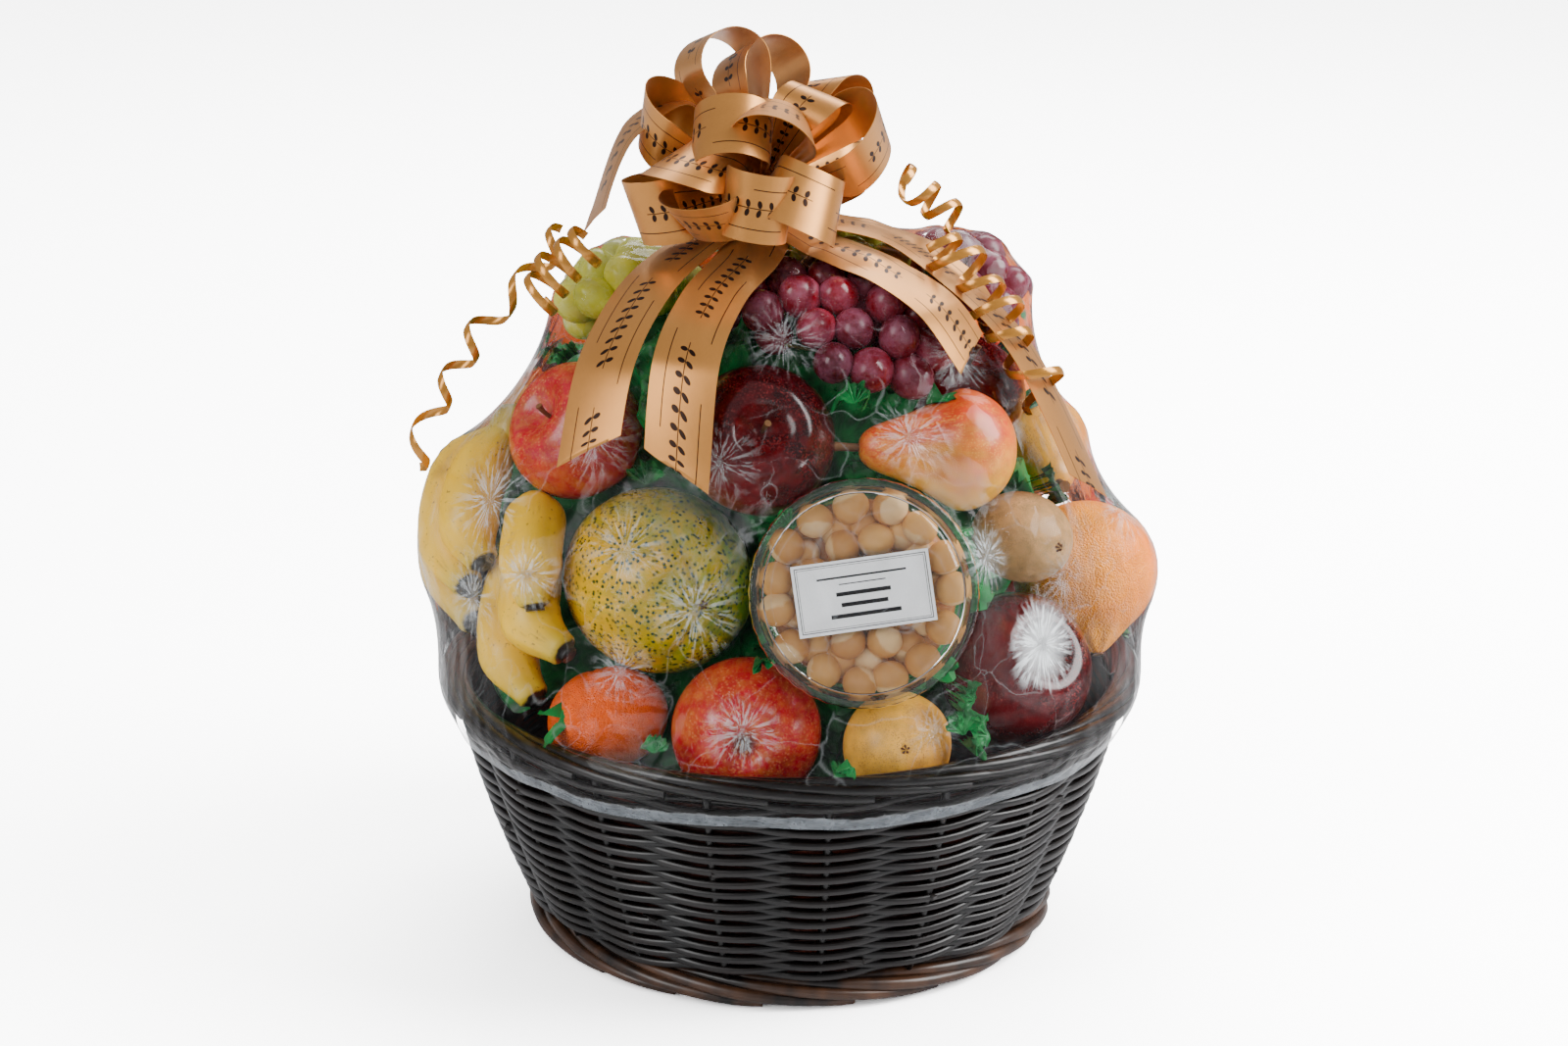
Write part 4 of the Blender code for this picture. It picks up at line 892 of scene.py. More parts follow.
def bananaSkin():
    # Yellow with greener ends, brown freckles and bruises, and a black tip.
    made, tree, shader = startMaterial("bananaSkin", Roughness=0.34)
    space = carried(tree, "fingerSpace")
    along = split(tree, space)["X"]
    place = ownSpace(tree)
    yellow = mixed(tree, noise(tree, place, 60.0, 3.0), tint(226, 190, 32), tint(240, 208, 62))
    green = ranged(tree, parted(tree, along, 0.5), 0.30, 0.47, 0.0, 0.75)
    color = mixed(tree, green, yellow, tint(176, 170, 80))
    bruise = ranged(tree, noise(tree, space, 1.0, 4.0, 0.6, (5.0, 2.4, 2.4)), 0.60, 0.74)
    color = mixed(tree, times(tree, bruise, 0.55), color, tint(132, 92, 44))
    freckle = ranged(tree, noise(tree, place, 420.0, 2.0), 0.66, 0.72)
    color = mixed(tree, times(tree, freckle, 0.6), color, tint(110, 72, 30))
    tip = plus(tree, along, times(tree, noise(tree, place, 160.0), 0.03))
    color = mixed(tree, ranged(tree, tip, 0.950, 0.962), color, tint(30, 22, 16))
    fill(tree, shader, "Base Color", color)
    bumped(tree, shader, noise(tree, place, 240.0, 3.0), 0.0002, 0.5)
    return made


def fingerShape(line, number):
    # A banana along its line: a five-sided round section, thin at the stalk and blunt at the tip.
    steps = 64
    sides = 40
    share = np.linspace(0.0, 1.0, steps)
    centres = curve(line, share)
    along = alongOf(centres)
    side = unit(np.cross(along, (0.3, 0.2, 1.0)))
    over = np.cross(side, along)
    about = circle(sides)
    stalk = 0.42 + 0.58 * smooth(0.04, 0.30, share)
    tip = 1.0 - 0.46 * smooth(0.66, 0.93, share) - 0.24 * smooth(0.92, 0.97, share)
    ridges = 1.0 + 0.05 * (np.abs(np.cos(2.5 * about + number)) ** 0.8 - 0.6)
    radius = fingerHalf * (stalk * tip)[:, None] * ridges[None]
    grid = tube(centres, radius[..., None], side, over, sides)
    space = np.stack(np.broadcast_arrays(share[:, None], np.cos(about)[None] + number,
                                         np.sin(about)[None]), -1)
    return capped(grid, {"fingerSpace": space})


def makeBananas():
    # Each hand: its fingers, and a lump for the crown where their stalks meet.
    skin = bananaSkin()
    ways = ball(24, 32)
    crownForm = ways * np.array((0.0115, 0.0135, 0.0125)) * (1 + 0.08 * waves(ways, 1.0, 3, 2))[..., None]
    space = np.concatenate((np.full(ways.shape[:2] + (1,), 0.06), ways[..., :2]), -1)
    for node, fingers in bananas.items():
        shapes = [fingerShape(line, index * 1.3) for index, line in enumerate(fingers)]
        crown = np.mean([line[0] for line in fingers], axis=0)
        shapes.append(capped(crown + crownForm, {"fingerSpace": space}))
        shape = joined(shapes)
        shown(shape["points"])
        piece(node + "_skin", shape, skin, [node])
    print("bananas ready")


makeBananas()


# Grapes: each bunch's skin and its lobes' middles and half sizes.
bunches = {
    "red_grapes": ("red_grape", (((0.016, -0.046, 0.360), (0.056, 0.030, 0.018)),
                                 ((0.027, -0.067, 0.341), (0.050, 0.020, 0.022)))),
    "red_grapes_right": ("red_grape", (((0.090, 0.022, 0.352), (0.030, 0.034, 0.024)),)),
    "green_grapes_top": ("green_grape", (((0.018, 0.014, 0.371), (0.040, 0.028, 0.013)),)),
    "green_grapes_left": ("green_grape", (((-0.086, 0.008, 0.350), (0.030, 0.038, 0.024)),)),
}
grape = {"half": 0.0115, "length": 0.0130, "spacing": 0.84, "spots": 700, "packedWithin": 0.12,
         "pressed": 0.97, "turned": 0.30, "stalkRadius": 0.0009}
knotPlace = np.array((-0.015, -0.010, 0.402))
knotRoom = 0.026


def grapeSkin(name, ground, deep, bloom, bloomShare):
    # A translucent skin, deeper to one end, with a dusty bloom that is rubbed off in patches.
    made, tree, shader = startMaterial(name, Subsurface_Weight=0.22, Subsurface_Scale=0.6,
                                       Subsurface_Radius=(0.006, 0.004, 0.002))
    height = split(tree, carried(tree, "fruitSpace"))["Z"]
    tone = plus(tree, times(tree, height, 0.35), carried(tree, "fruitSeed", "Fac"))
    color = mixed(tree, ranged(tree, tone, -0.2, 1.1), ground, deep)
    rubbed = ranged(tree, noise(tree, ownSpace(tree), 120.0, 4.0, 0.6), 0.36, 0.68)
    color = mixed(tree, times(tree, rubbed, bloomShare), color, bloom)
    fill(tree, shader, "Base Color", color)
    fill(tree, shader, "Roughness", ranged(tree, rubbed, 0.0, 1.0, 0.12, 0.42))
    return made


def grapeShape(middle, way, size, seed):
    # An egg-shaped grape whose stem end faces inwards, with a small scar at its tip.
    ways = ball(20, 28)
    across = np.hypot(ways[..., 0], ways[..., 1])
    rise = ways[..., 2]
    height = rise * (1.0 + 0.04 * rise) - np.where(rise > 0, hollow(across, 0.12, 0.035), 0)
    local = np.stack((ways[..., 0] * grape["half"], ways[..., 1] * grape["half"],
                      height * grape["length"]), -1) * size
    points = middle + local.reshape(-1, 3) @ turnTo(way).T
    return capped(points.reshape(local.shape), {"fruitSpace": ways,
                                                "fruitSeed": np.full(ways.shape[:2], seed)})


def apart(points, spot, room):
    # Whether a spot keeps some room from all the points.
    return not len(points) or np.min(np.linalg.norm(points - spot, axis=1)) >= room


def makeGrapes():
    # Grapes on spots of a golden spiral over each lobe, where there is room, each on a stalk.
    red = grapeSkin("redGrapeSkin", tint(160, 32, 52), tint(90, 10, 30), tint(206, 150, 176), 0.30)
    green = grapeSkin("greenGrapeSkin", tint(220, 214, 92), tint(180, 184, 60), tint(226, 230, 184), 0.22)
    stalk = newMaterial("grapeStalk", woodGroup, {"Ground": tint(116, 112, 46), "Worn": tint(150, 120, 60),
                                                  "WearShare": 0.6, "Shine": 0.5})
    golden = math.pi * (3.0 - math.sqrt(5.0))
    index = np.arange(grape["spots"])
    height = 1.0 - 2.0 * (index + 0.5) / len(index)
    wide = np.sqrt(1.0 - height ** 2)
    ways = np.stack((wide * np.cos(golden * index), wide * np.sin(golden * index), height), -1)
    taken = np.zeros((0, 3))
    for node, (slot, lobes) in bunches.items():
        packed = np.vstack(solidPoints)
        packed = packed[np.linalg.norm(packed - middleOf(node), axis=1) < grape["packedWithin"]]
        shapes = []
        stems = []
        for centre, half in np.array(lobes):
            for spot, out in zip(centre + ways * half, unit(ways / half)):
                if out @ unit(spot - heart) < 0.0 or np.linalg.norm(spot - knotPlace) < knotRoom:
                    continue
                if not (apart(packed, spot, grape["half"] * grape["pressed"])
                        and apart(taken, spot, 2 * grape["half"] * grape["spacing"])):
                    continue
                taken = np.vstack((taken, spot))
                way = unit(out + random.normal(size=3) * grape["turned"])
                shapes.append(grapeShape(spot, way, random.uniform(0.90, 1.05), random.uniform(-0.1, 0.75)))
                root = centre + (spot - centre) * 0.25
                line = root + np.outer(np.linspace(0, 1, 5), spot - root - way * 0.009)
                stems.append(rod(line, grape["stalkRadius"], 6,
                                 values={"rodSpace": line, "proud": np.zeros(5)}))
        shape = joined(shapes)
        shown(shape["points"])
        piece(node + "_skin", shape, red if slot == "red_grape" else green, [node])
        piece(node + "_stalks", joined(stems), stalk)
        print(node, "has", len(shapes), "grapes")


makeGrapes()


# Tub of nuts: the lid's face and the way it looks, as in the solids.
tub = {"radius": 0.0590, "depth": 0.0380, "facing": (0.0, -0.950, 0.312), "turn": 8.0,
       "label": (0.0710, 0.0370), "labelThickness": 0.00015, "labelHeight": 0.00185}
lidProfile = [(0.0, 0.0010), (0.0470, 0.0010), (0.0478, 0.0018), (0.0488, 0.0018), (0.0500, 0.0008),
              (0.0512, 0.0008), (0.0524, 0.0030), (0.0536, 0.0034), (0.0572, 0.0034), (0.0584, 0.0028),
              (0.0590, 0.0015), (0.0590, -0.0070), (0.0576, -0.0070), (0.0574, 0.0), (0.0, 0.0)]
# The label's plain rules: height, half length and half thickness.
rules = ((0.0098, 0.0230, 0.00045), (0.0062, 0.0120, 0.00022), (0.0012, 0.0140, 0.0010),
         (-0.0044, 0.0120, 0.0010), (-0.0100, 0.0180, 0.0010))
# Each layer of nuts: its depth, and its rings as a count and a radius.
nut = {"half": 0.0096, "squash": (1.0, 0.96, 0.92),
       "layers": ((0.0112, ((2, 0.0090), (8, 0.0272), (15, 0.0452))),
                  (0.0200, ((1, 0.0), (6, 0.0180), (13, 0.0362))))}


def tubAxes():
    # The tub's own side, up and facing directions, turned as the label lies.
    facing = unit(tub["facing"])
    side = unit(np.cross(upward, facing))
    over = np.cross(facing, side)
    turn = math.radians(tub["turn"])
    return np.array((math.cos(turn) * side + math.sin(turn) * over,
                     math.cos(turn) * over - math.sin(turn) * side, facing))


def clearLook(name, tone, rough, cover, reflect):
    # Clear stuff: a faint tone over what lies behind, and a mirror-like coat by Fresnel.
    made, tree, shader = startMaterial(name, Base_Color=tone, Roughness=0.3, Alpha=cover)
    glossy(tree, shader, rough, reflect)
    return made


def turnedShape(profile, sides=128, ribs=0.0):
    # A profile of radius and height turned about +Z, with fine ribs on what is widest.
    profile = np.array(profile + profile[:1], float)
    angle = circle(sides)
    rib = 1.0 + ribs * np.cos(sides / 4 * angle)[None] * (profile[:, :1] > tub["radius"] - 0.0005)
    radius = np.maximum(profile[:, :1], 0.0003) * rib
    grid = np.stack((radius * np.sin(angle), -radius * np.cos(angle),
                     profile[:, 1:] + 0 * angle[None]), -1)
    return gridShape(grid)


def inTub(shape, axes, origin):
    # A shape in the tub's own axes, moved to its place.
    return {**shape, "points": origin + shape["points"] @ axes}


def makeTub():
    # The lid with its rim and the box under it, each a turned profile.
    axes = tubAxes()
    lip = tub["radius"] - 0.0022
    foot = tub["radius"] - 0.0080
    deep = tub["depth"]
    lid = turnedShape(lidProfile, 160, 0.004)
    origin = middleOf("tub_lid") - boxMiddle(lid["points"] @ axes)
    clear = clearLook("clearPlastic", tint(232, 238, 236), 0.05, 0.015, 1.32)
    lidMade = inTub(lid, axes, origin)
    shown(lidMade["points"])
    piece("tubLid", lidMade, clear, ["tub_lid"], sharp=35)
    base = turnedShape([(0.0, -deep), (foot - 0.002, -deep), (foot, -deep + 0.002),
                        (lip - 0.0014, -0.0050), (lip, -0.0042), (lip, -0.0006), (lip - 0.0020, -0.0006),
                        (foot - 0.0010, -deep + 0.0025), (foot - 0.003, -deep + 0.0010),
                        (0.0, -deep + 0.0010)], 160)
    baseMade = inTub(base, axes, origin)
    shown(baseMade["points"])
    discs = np.linspace(0.004, foot, 12)[:, None] * np.exp(1j * np.linspace(0, 2 * math.pi, 60))[None]
    floorPoints = np.stack((discs.real, discs.imag, 0 * discs.real - deep), -1).reshape(-1, 3)
    shown(origin + floorPoints @ axes)
    piece("tubBase", baseMade, clear, ["tub_base"], sharp=35)
    makeLabel(axes, origin)
    makeNuts(axes, origin)
    print("tub ready")


def makeLabel(axes, origin):
    # White paper with a double border and plain rules, laid on the lid.
    made, tree, shader = startMaterial("labelPaper", Roughness=0.4)
    place = carried(tree, "labelSpace")
    parts = split(tree, place)
    wide, tall = tub["label"]
    fromSide = minus(tree, wide / 2, absolute(tree, parts["X"]))
    fromTop = minus(tree, tall / 2, absolute(tree, parts["Y"]))
    inset = computed(tree, "MINIMUM", fromSide, fromTop)
    border = ranged(tree, parted(tree, inset, 0.0018), 0.00016, 0.00026, 1.0, 0.0)
    inner = ranged(tree, parted(tree, inset, 0.0028), 0.00008, 0.00016, 1.0, 0.0)
    marks = computed(tree, "MAXIMUM", border, inner)
    for height, half, thick in rules:
        line = ranged(tree, parted(tree, parts["Y"], height), thick, thick + 0.0001, 1.0, 0.0)
        reach = ranged(tree, absolute(tree, parts["X"]), half, half + 0.0001, 1.0, 0.0)
        marks = computed(tree, "MAXIMUM", marks, times(tree, line, reach))
    grain = noise(tree, place, 900.0, 3.0)
    paper = mixed(tree, grain, tint(232, 234, 236), tint(246, 247, 248))
    fill(tree, shader, "Base Color", mixed(tree, marks, paper, tint(44, 44, 46)))
    bumped(tree, shader, grain, 0.0001, 0.3)
    across, up = np.meshgrid(np.linspace(-wide / 2, wide / 2, 40), np.linspace(-tall / 2, tall / 2, 24))
    wave = 0.00012 * np.sin(across * 160.0) * np.cos(up * 130.0)
    top = np.stack((across, up, tub["labelHeight"] + wave), -1)
    low = top - (0.0, 0.0, tub["labelThickness"])
    space = np.concatenate((top, top[:, ::-1]), 1)
    space[..., 2] = 0.0
    shape = capped(np.concatenate((top, low[:, ::-1]), 1), {"labelSpace": space})
    piece("tubLabel", inTub(shape, axes, origin), made, ["tub_label"], sharp=40)


def nutSkin():
    # Toasted in patches and from nut to nut, with a paler cap.
    made, tree, shader = startMaterial("nutSkin", Roughness=0.5)
    place = ownSpace(tree)
    height = split(tree, carried(tree, "fruitSpace"))["Z"]
    cap = ranged(tree, plus(tree, height, times(tree, noise(tree, place, 160.0), 0.5)), 0.62, 0.78)
    toast = plus(tree, carried(tree, "fruitSeed", "Fac"), times(tree, noise(tree, place, 70.0, 4.0), 0.6))
    color = mixed(tree, ranged(tree, toast, 0.3, 1.2), tint(226, 184, 116), tint(190, 134, 66))
    fill(tree, shader, "Base Color", mixed(tree, cap, color, tint(232, 204, 158)))
    bumped(tree, shader, noise(tree, place, 420.0, 4.0), 0.0003, 0.6)
    return made


def makeNuts(axes, origin):
    # Roasted nuts in loose rings, one layer under another, over a core in their deepest toast colour, which
    # stands for the nuts below and paints the shade between them.
    shapes = []
    ways = ball(22, 30)
    for layer, (depth, rings) in enumerate(nut["layers"]):
        for count, ring in rings:
            for index in range(count):
                angle = fullTurn * index / count + 0.3 + 0.6 * layer + random.uniform(-0.07, 0.07)
                spot = np.array((ring * math.cos(angle), ring * math.sin(angle), -depth))
                spot += random.uniform(-0.0016, 0.0012, 3)
                lump = 1.0 + 0.030 * waves(ways, 1.6, 100 + len(shapes), 2)
                points = ways * lump[..., None] * np.array(nut["squash"]) * nut["half"]
                points = points.reshape(-1, 3) @ turnTo(unit(random.normal(size=3))).T + spot
                shapes.append(capped(points.reshape(ways.shape), {
                    "fruitSpace": ways, "fruitSeed": np.full(ways.shape[:2], random.uniform(0.0, 0.6))}))
    # The core stands for the nuts below. Its colour is the deepest toast, as painted shade between the nuts.
    core = ball(20, 60)
    flat = core * np.array((0.0488, 0.0488, 0.0090)) - (0.0, 0.0, 0.0265)
    shapes.append(capped(flat, {"fruitSpace": core * 0.0, "fruitSeed": core[..., 0] * 0 + 0.9}))
    nuts = inTub(joined(shapes), axes, origin)
    shown(nuts["points"])
    piece("nuts", nuts, nutSkin(), ["macadamia_nuts"])


makeTub()


# Film: a tight skin over what it covers, from its welded edge under the rim up to the knot.
film = {"edgeRadius": 0.1870, "edgeHeight": 0.1228, "rows": 110, "columns": 264, "air": 0.0007,
        "closest": 0.0002, "slackest": 0.19, "knotHeight": 0.4040, "turns": 1500, "softening": 3,
        "pleats": 27}
filmTop = math.radians(89.0)
nothing = 0.05  # a reach below this means that no fruit lies that way
unheld = 50.0
rim = {"ring": 0.1865, "half": 0.0088, "height": 0.1432}


def edgePoints(azimuth):
    # Where rays from the heart, at each azimuth, meet the circle of the film's edge.
    way = np.stack((np.sin(azimuth), -np.cos(azimuth)), -1)
    centre = heart[:2]
    along = way @ centre
    reach = -along + np.sqrt(along ** 2 - centre @ centre + film["edgeRadius"] ** 2)
    wander = 0.0022 * waves(np.column_stack((way, way[:, 0] * 0)), 0.7, 4, 3)
    return reach, film["edgeHeight"] + wander - heart[2]


def cellOf(turned, risen, low, high, rows, columns):
    # The nearest row and column of a grid of directions, and whether it is on the grid.
    column = np.floor(turned / (fullTurn / columns) + 0.5).astype(int) % columns
    low = low[column]
    row = np.floor((risen - low) / (high - low) * (rows - 1) + 0.5).astype(int)
    inside = (row >= 0) & (row < rows)
    return row[inside], column[inside], inside


def polarOf(points):
    # Azimuth from the front, elevation and distance, seen from the heart.
    away = points - heart
    flat = np.hypot(away[:, 0], away[:, 1])
    return np.arctan2(away[:, 0], -away[:, 1]), np.arctan2(away[:, 2], flat), np.linalg.norm(away, axis=1)


def stretchFilm():
    # 1/r of a flat sheet solves lap(w) + 2w = 0 on the sphere of directions, so the film is the
    # solution of that, by repeated averaging, held outside what it covers.
    rows, columns = film["rows"], film["columns"]
    azimuth = circle(columns)
    flat, drop = edgePoints(azimuth)
    lowest = np.arctan2(drop, flat)
    elevation = lowest[None] + (filmTop - lowest)[None] * np.linspace(0.0, 1.0, rows)[:, None]
    section = circle(24)[None]
    rimPoints = around(*np.broadcast_arrays(circle(720)[:, None], rim["ring"] + rim["half"] * np.cos(section),
                                            rim["height"] + rim["half"] * np.sin(section))).reshape(-1, 3)
    turned, risen, reach = polarOf(np.vstack(solidPoints + [rimPoints]))
    row, column, inside = cellOf(turned, risen, lowest, filmTop, rows, columns)
    held = np.zeros((rows, columns))
    np.maximum.at(held, (row, column), reach[inside])
    held = spreadSideways(held, elevation)
    grown = np.maximum(held, np.maximum(np.roll(held, 1, 1), np.roll(held, -1, 1)))
    held = np.where(held > 0, held, grown)
    limit = np.where(held > nothing, 1.0 / (held + film["air"]), unheld)
    w = np.minimum(limit, 1.0 / film["slackest"])
    edge = 1.0 / np.hypot(flat, drop)
    tip = 1.0 / (film["knotHeight"] - heart[2])
    stepUp = (filmTop - lowest)[None] / (rows - 1)
    stepSide = fullTurn / columns * np.cos(elevation)
    slope = np.tan(elevation)
    for turn in range(film["turns"]):
        up = np.vstack((w[1:], np.full((1, columns), tip)))
        down = np.vstack((edge[None], w[:-1]))
        beside = np.roll(w, 1, 1) + np.roll(w, -1, 1)
        new = (up + down) / stepUp ** 2 + beside / stepSide ** 2 - slope * (up - down) / (2 * stepUp)
        new = new / (2.0 / stepUp ** 2 + 2.0 / stepSide ** 2 - 2.0)
        w = np.minimum(new, limit)
        w[0] = edge
        w[-1] = tip
    closest = np.where(held > nothing, 1.0 / (held + film["closest"]), unheld)
    for turn in range(film["softening"]):
        w[1:-1] = (w[1:-1] + np.roll(w, 1, 1)[1:-1] + np.roll(w, -1, 1)[1:-1] + w[:-2] + w[2:]) / 5.0
        w[1:-1] = np.minimum(w[1:-1], closest[1:-1])
    reach = 1.0 / w
    gap = np.where(held > nothing, reach - held, 0.02)
    return azimuth, elevation, reach, gap, lowest


def spreadSideways(held, elevation):
    # Near the top the columns draw together, so each value also counts for its neighbours there.
    spread = held.copy()
    for shift in range(1, 12):
        near = np.cos(elevation) < 1.0 / (shift + 0.3)
        moved = np.maximum(np.roll(held, shift, 1), np.roll(held, -shift, 1))
        spread = np.where(near, np.maximum(spread, moved), spread)
    return spread


filmAzimuth, filmElevation, filmReach, filmGap, filmLowest = stretchFilm()
print("film stretched")


def filmAt(points):
    # The film's distance from the heart along the way to each point, and its gap to what it
    # covers, between the four nearest nodes of its grid; 0 below its edge.
    turned, risen = polarOf(points)[:2]
    columns = film["columns"]
    place = (turned / fullTurn * columns) % columns
    column = np.floor(place).astype(int) % columns
    part = place - np.floor(place)
    low = filmLowest[column]
    height = np.clip((risen - low) / (filmTop - low), 0, 1) * (film["rows"] - 1)
    row = np.minimum(np.floor(height).astype(int), film["rows"] - 2)
    rise = height - row
    beside = (column + 1) % columns
    found = [(values[row, column] * (1 - part) + values[row, beside] * part) * (1 - rise)
             + (values[row + 1, column] * (1 - part) + values[row + 1, beside] * part) * rise
             for values in (filmReach, filmGap)]
    return np.where(risen < low, 0.0, found[0]), found[1]


def overFilm(points, clearance):
    # Moves points out along their rays from the heart to a clearance over the film.
    reach = np.linalg.norm(points - heart, axis=1)
    cover = filmAt(points)[0]
    return heart + (points - heart) * (np.maximum(reach, cover + clearance) / reach)[:, None]


# Where the film is drawn tight over a bulge and crinkles in a star, with white streaks of painted
# highlight: azimuth, elevation in degrees, the star's radius and its strength, how white its painted
# highlight is.
stars = (
    (52, 0.6, 0.033, 1.00), (-13, 12, 0.030, 0.40), (-30, 22, 0.032, 0.34), (40, 18, 0.022, 0.65),
    (-27, -1, 0.022, 0.40), (-49, 13, 0.024, 0.55), (-3, -8, 0.024, 0.45), (60, 10, 0.028, 0.22),
    (-46, 41, 0.030, 0.40), (-10, 40, 0.026, 0.36), (-68, 22, 0.038, 0.52), (-66, 4, 0.030, 0.50),
    (34, 40, 0.026, 0.40), (28, -8, 0.018, 0.25), (8, 62, 0.026, 0.30), (55, 50, 0.026, 0.45),
    (88, 12, 0.030, 0.50), (120, 6, 0.032, 0.55), (150, 32, 0.034, 0.45), (178, 4, 0.032, 0.55),
    (-150, 30, 0.034, 0.45), (-120, 8, 0.032, 0.55), (-92, 34, 0.028, 0.45), (160, -14, 0.024, 0.40),
)


def starSpace(points):
    # For each point: the way round its nearest star and its distance in star radii, and that
    # star's strength of painted highlight.
    flat = points.reshape(-1, 3)
    nearest = np.full(len(flat), 9.0)
    space = np.zeros((len(flat), 3))
    highlightPull = np.zeros(len(flat))
    for azimuth, elevation, radius, strength in stars:
        way = wayOf(math.radians(azimuth), math.radians(elevation))
        cover = filmAt((heart + way)[None])[0][0]
        side = unit(np.cross(way, upward))
        away = flat - heart - way * cover
        across = np.stack((away @ side, away @ np.cross(side, way)), -1)
        distance = np.linalg.norm(away, axis=1) / radius
        closer = distance < nearest
        nearest = np.where(closer, distance, nearest)
        across = across / np.maximum(np.linalg.norm(across, axis=1), 1e-6)[:, None]
        space[closer] = np.column_stack((across, distance))[closer]
        highlightPull[closer] = strength
    return space.reshape(points.shape), highlightPull.reshape(points.shape[:-1])


def filmLook():
    # Clear where it clings; a faint white painted sheen on facets and thin white fold lines of painted
    # highlight where it stands off; crinkles that run in stars to where it is drawn tight, with white
    # streaks of painted highlight along them; and a milky welded band with bubbles along its edge.
    made, tree, shader = startMaterial("shrinkFilm", Roughness=0.35)
    place = ownSpace(tree)
    warp = wire(tree, "TexNoise", {"Vector": place, "Scale": 22.0, "Detail": 2.0})
    bent = mixed(tree, 0.06, place, warp.outputs["Color"], "ADD")
    # Folds: a faint white painted sheen on facets and thin white lines of painted highlight along the
    # creases, where it stands off
    facet = wire(tree, "SeparateColor", {0: cells(tree, bent, 24.0)["Color"]}).outputs[0]
    standing = ranged(tree, carried(tree, "gap", "Fac"), 0.0022, 0.0110)
    paintedSheen = times(tree, standing, times(tree, ranged(tree, facet, 0.25, 0.85), 0.008))
    crease = cells(tree, bent, 24.0, "DISTANCE_TO_EDGE")["Distance"]
    paintedSheen = plus(tree, paintedSheen, times(tree, ranged(tree, crease, 0.0, 0.016, 0.08, 0.0), standing))
    # Stars: white streaks along the crinkles and a white patch at the middle, painted highlights where the
    # film is drawn tight
    star = carried(tree, "starSpace")
    highlightPull = carried(tree, "starHighlight", "Fac")
    reach = split(tree, star)["Z"]
    fan = noise(tree, star, 1.0, 3.0, 0.62, (7.0, 7.0, 2.0))
    close = ranged(tree, plus(tree, reach, times(tree, fan, 0.6)), 0.45, 1.25, 1.0, 0.0)
    ridgeHighlight = times(tree, times(tree, ranged(tree, fan, 0.52, 0.57), close), highlightPull)
    # A white patch of painted highlight where the star is drawn tightest.
    core = ranged(tree, minus(tree, reach, times(tree, fan, 0.55)), -0.05, 0.50, 0.85, 0.0)
    core = times(tree, core, computed(tree, "POWER", highlightPull, 4.0))
    paintedSheen = plus(tree, paintedSheen, times(tree, plus(tree, ridgeHighlight, core), 0.85))
    # Welded edge
    uneven = times(tree, noise(tree, place, 70.0, 4.0), -0.0080)
    ragged = plus(tree, carried(tree, "edgeDistance", "Fac"), uneven)
    welded = ranged(tree, ragged, 0.0030, 0.0048, 1.0, 0.0)
    bubble = ranged(tree, cells(tree, place, 420.0)["Distance"], 0.12, 0.30, 0.35, 0.0)
    milk = ranged(tree, noise(tree, place, 90.0, 4.0, 0.65), 0.35, 0.65, 0.30, 0.66)
    # Alpha: the painted sheen and highlights in white, and the welded band's milk in grey.
    fill(tree, shader, "Alpha", mixed(tree, welded, paintedSheen, minus(tree, milk, bubble)))
    fill(tree, shader, "Base Color", mixed(tree, welded, tint(226, 230, 232), tint(150, 156, 162)))
    # Crinkles
    crinkle = noise(tree, place, 1.0, 4.0, 0.6, (150.0, 150.0, 70.0))
    coarse = cells(tree, bent, 46.0)["Distance"]
    height = plus(tree, times(tree, crinkle, 0.35), times(tree, coarse, 1.6))
    height = plus(tree, height, times(tree, times(tree, fan, close), 3.0))
    glossy(tree, shader, 0.045, 1.21, bumped(tree, shader, height, 0.0010, 0.8))
    return made


def makeFilm():
    # The stretched film, with fine pleats where it is gathered under the knot.
    share = np.linspace(0.0, 1.0, film["rows"])[:, None]
    pleat = np.cos(film["pleats"] * filmAzimuth)[None] + 0.6 * np.cos(11 * filmAzimuth + 1.0)[None]
    reach = filmReach + 0.0009 * pleat * smooth(0.74, 0.96, share) * (1.0 - smooth(0.97, 1.0, share))
    grid = heart + wayOf(filmAzimuth[None], filmElevation) * reach[..., None]
    below = np.linalg.norm(grid - grid[:1], axis=-1)
    space, highlightPull = starSpace(grid)
    shape = gridShape(grid, {"gap": filmGap, "edgeDistance": below, "starSpace": space,
                             "starHighlight": highlightPull})
    made = piece("film", shape, filmLook(), ["clear_film"])
    print("film ready")


makeFilm()


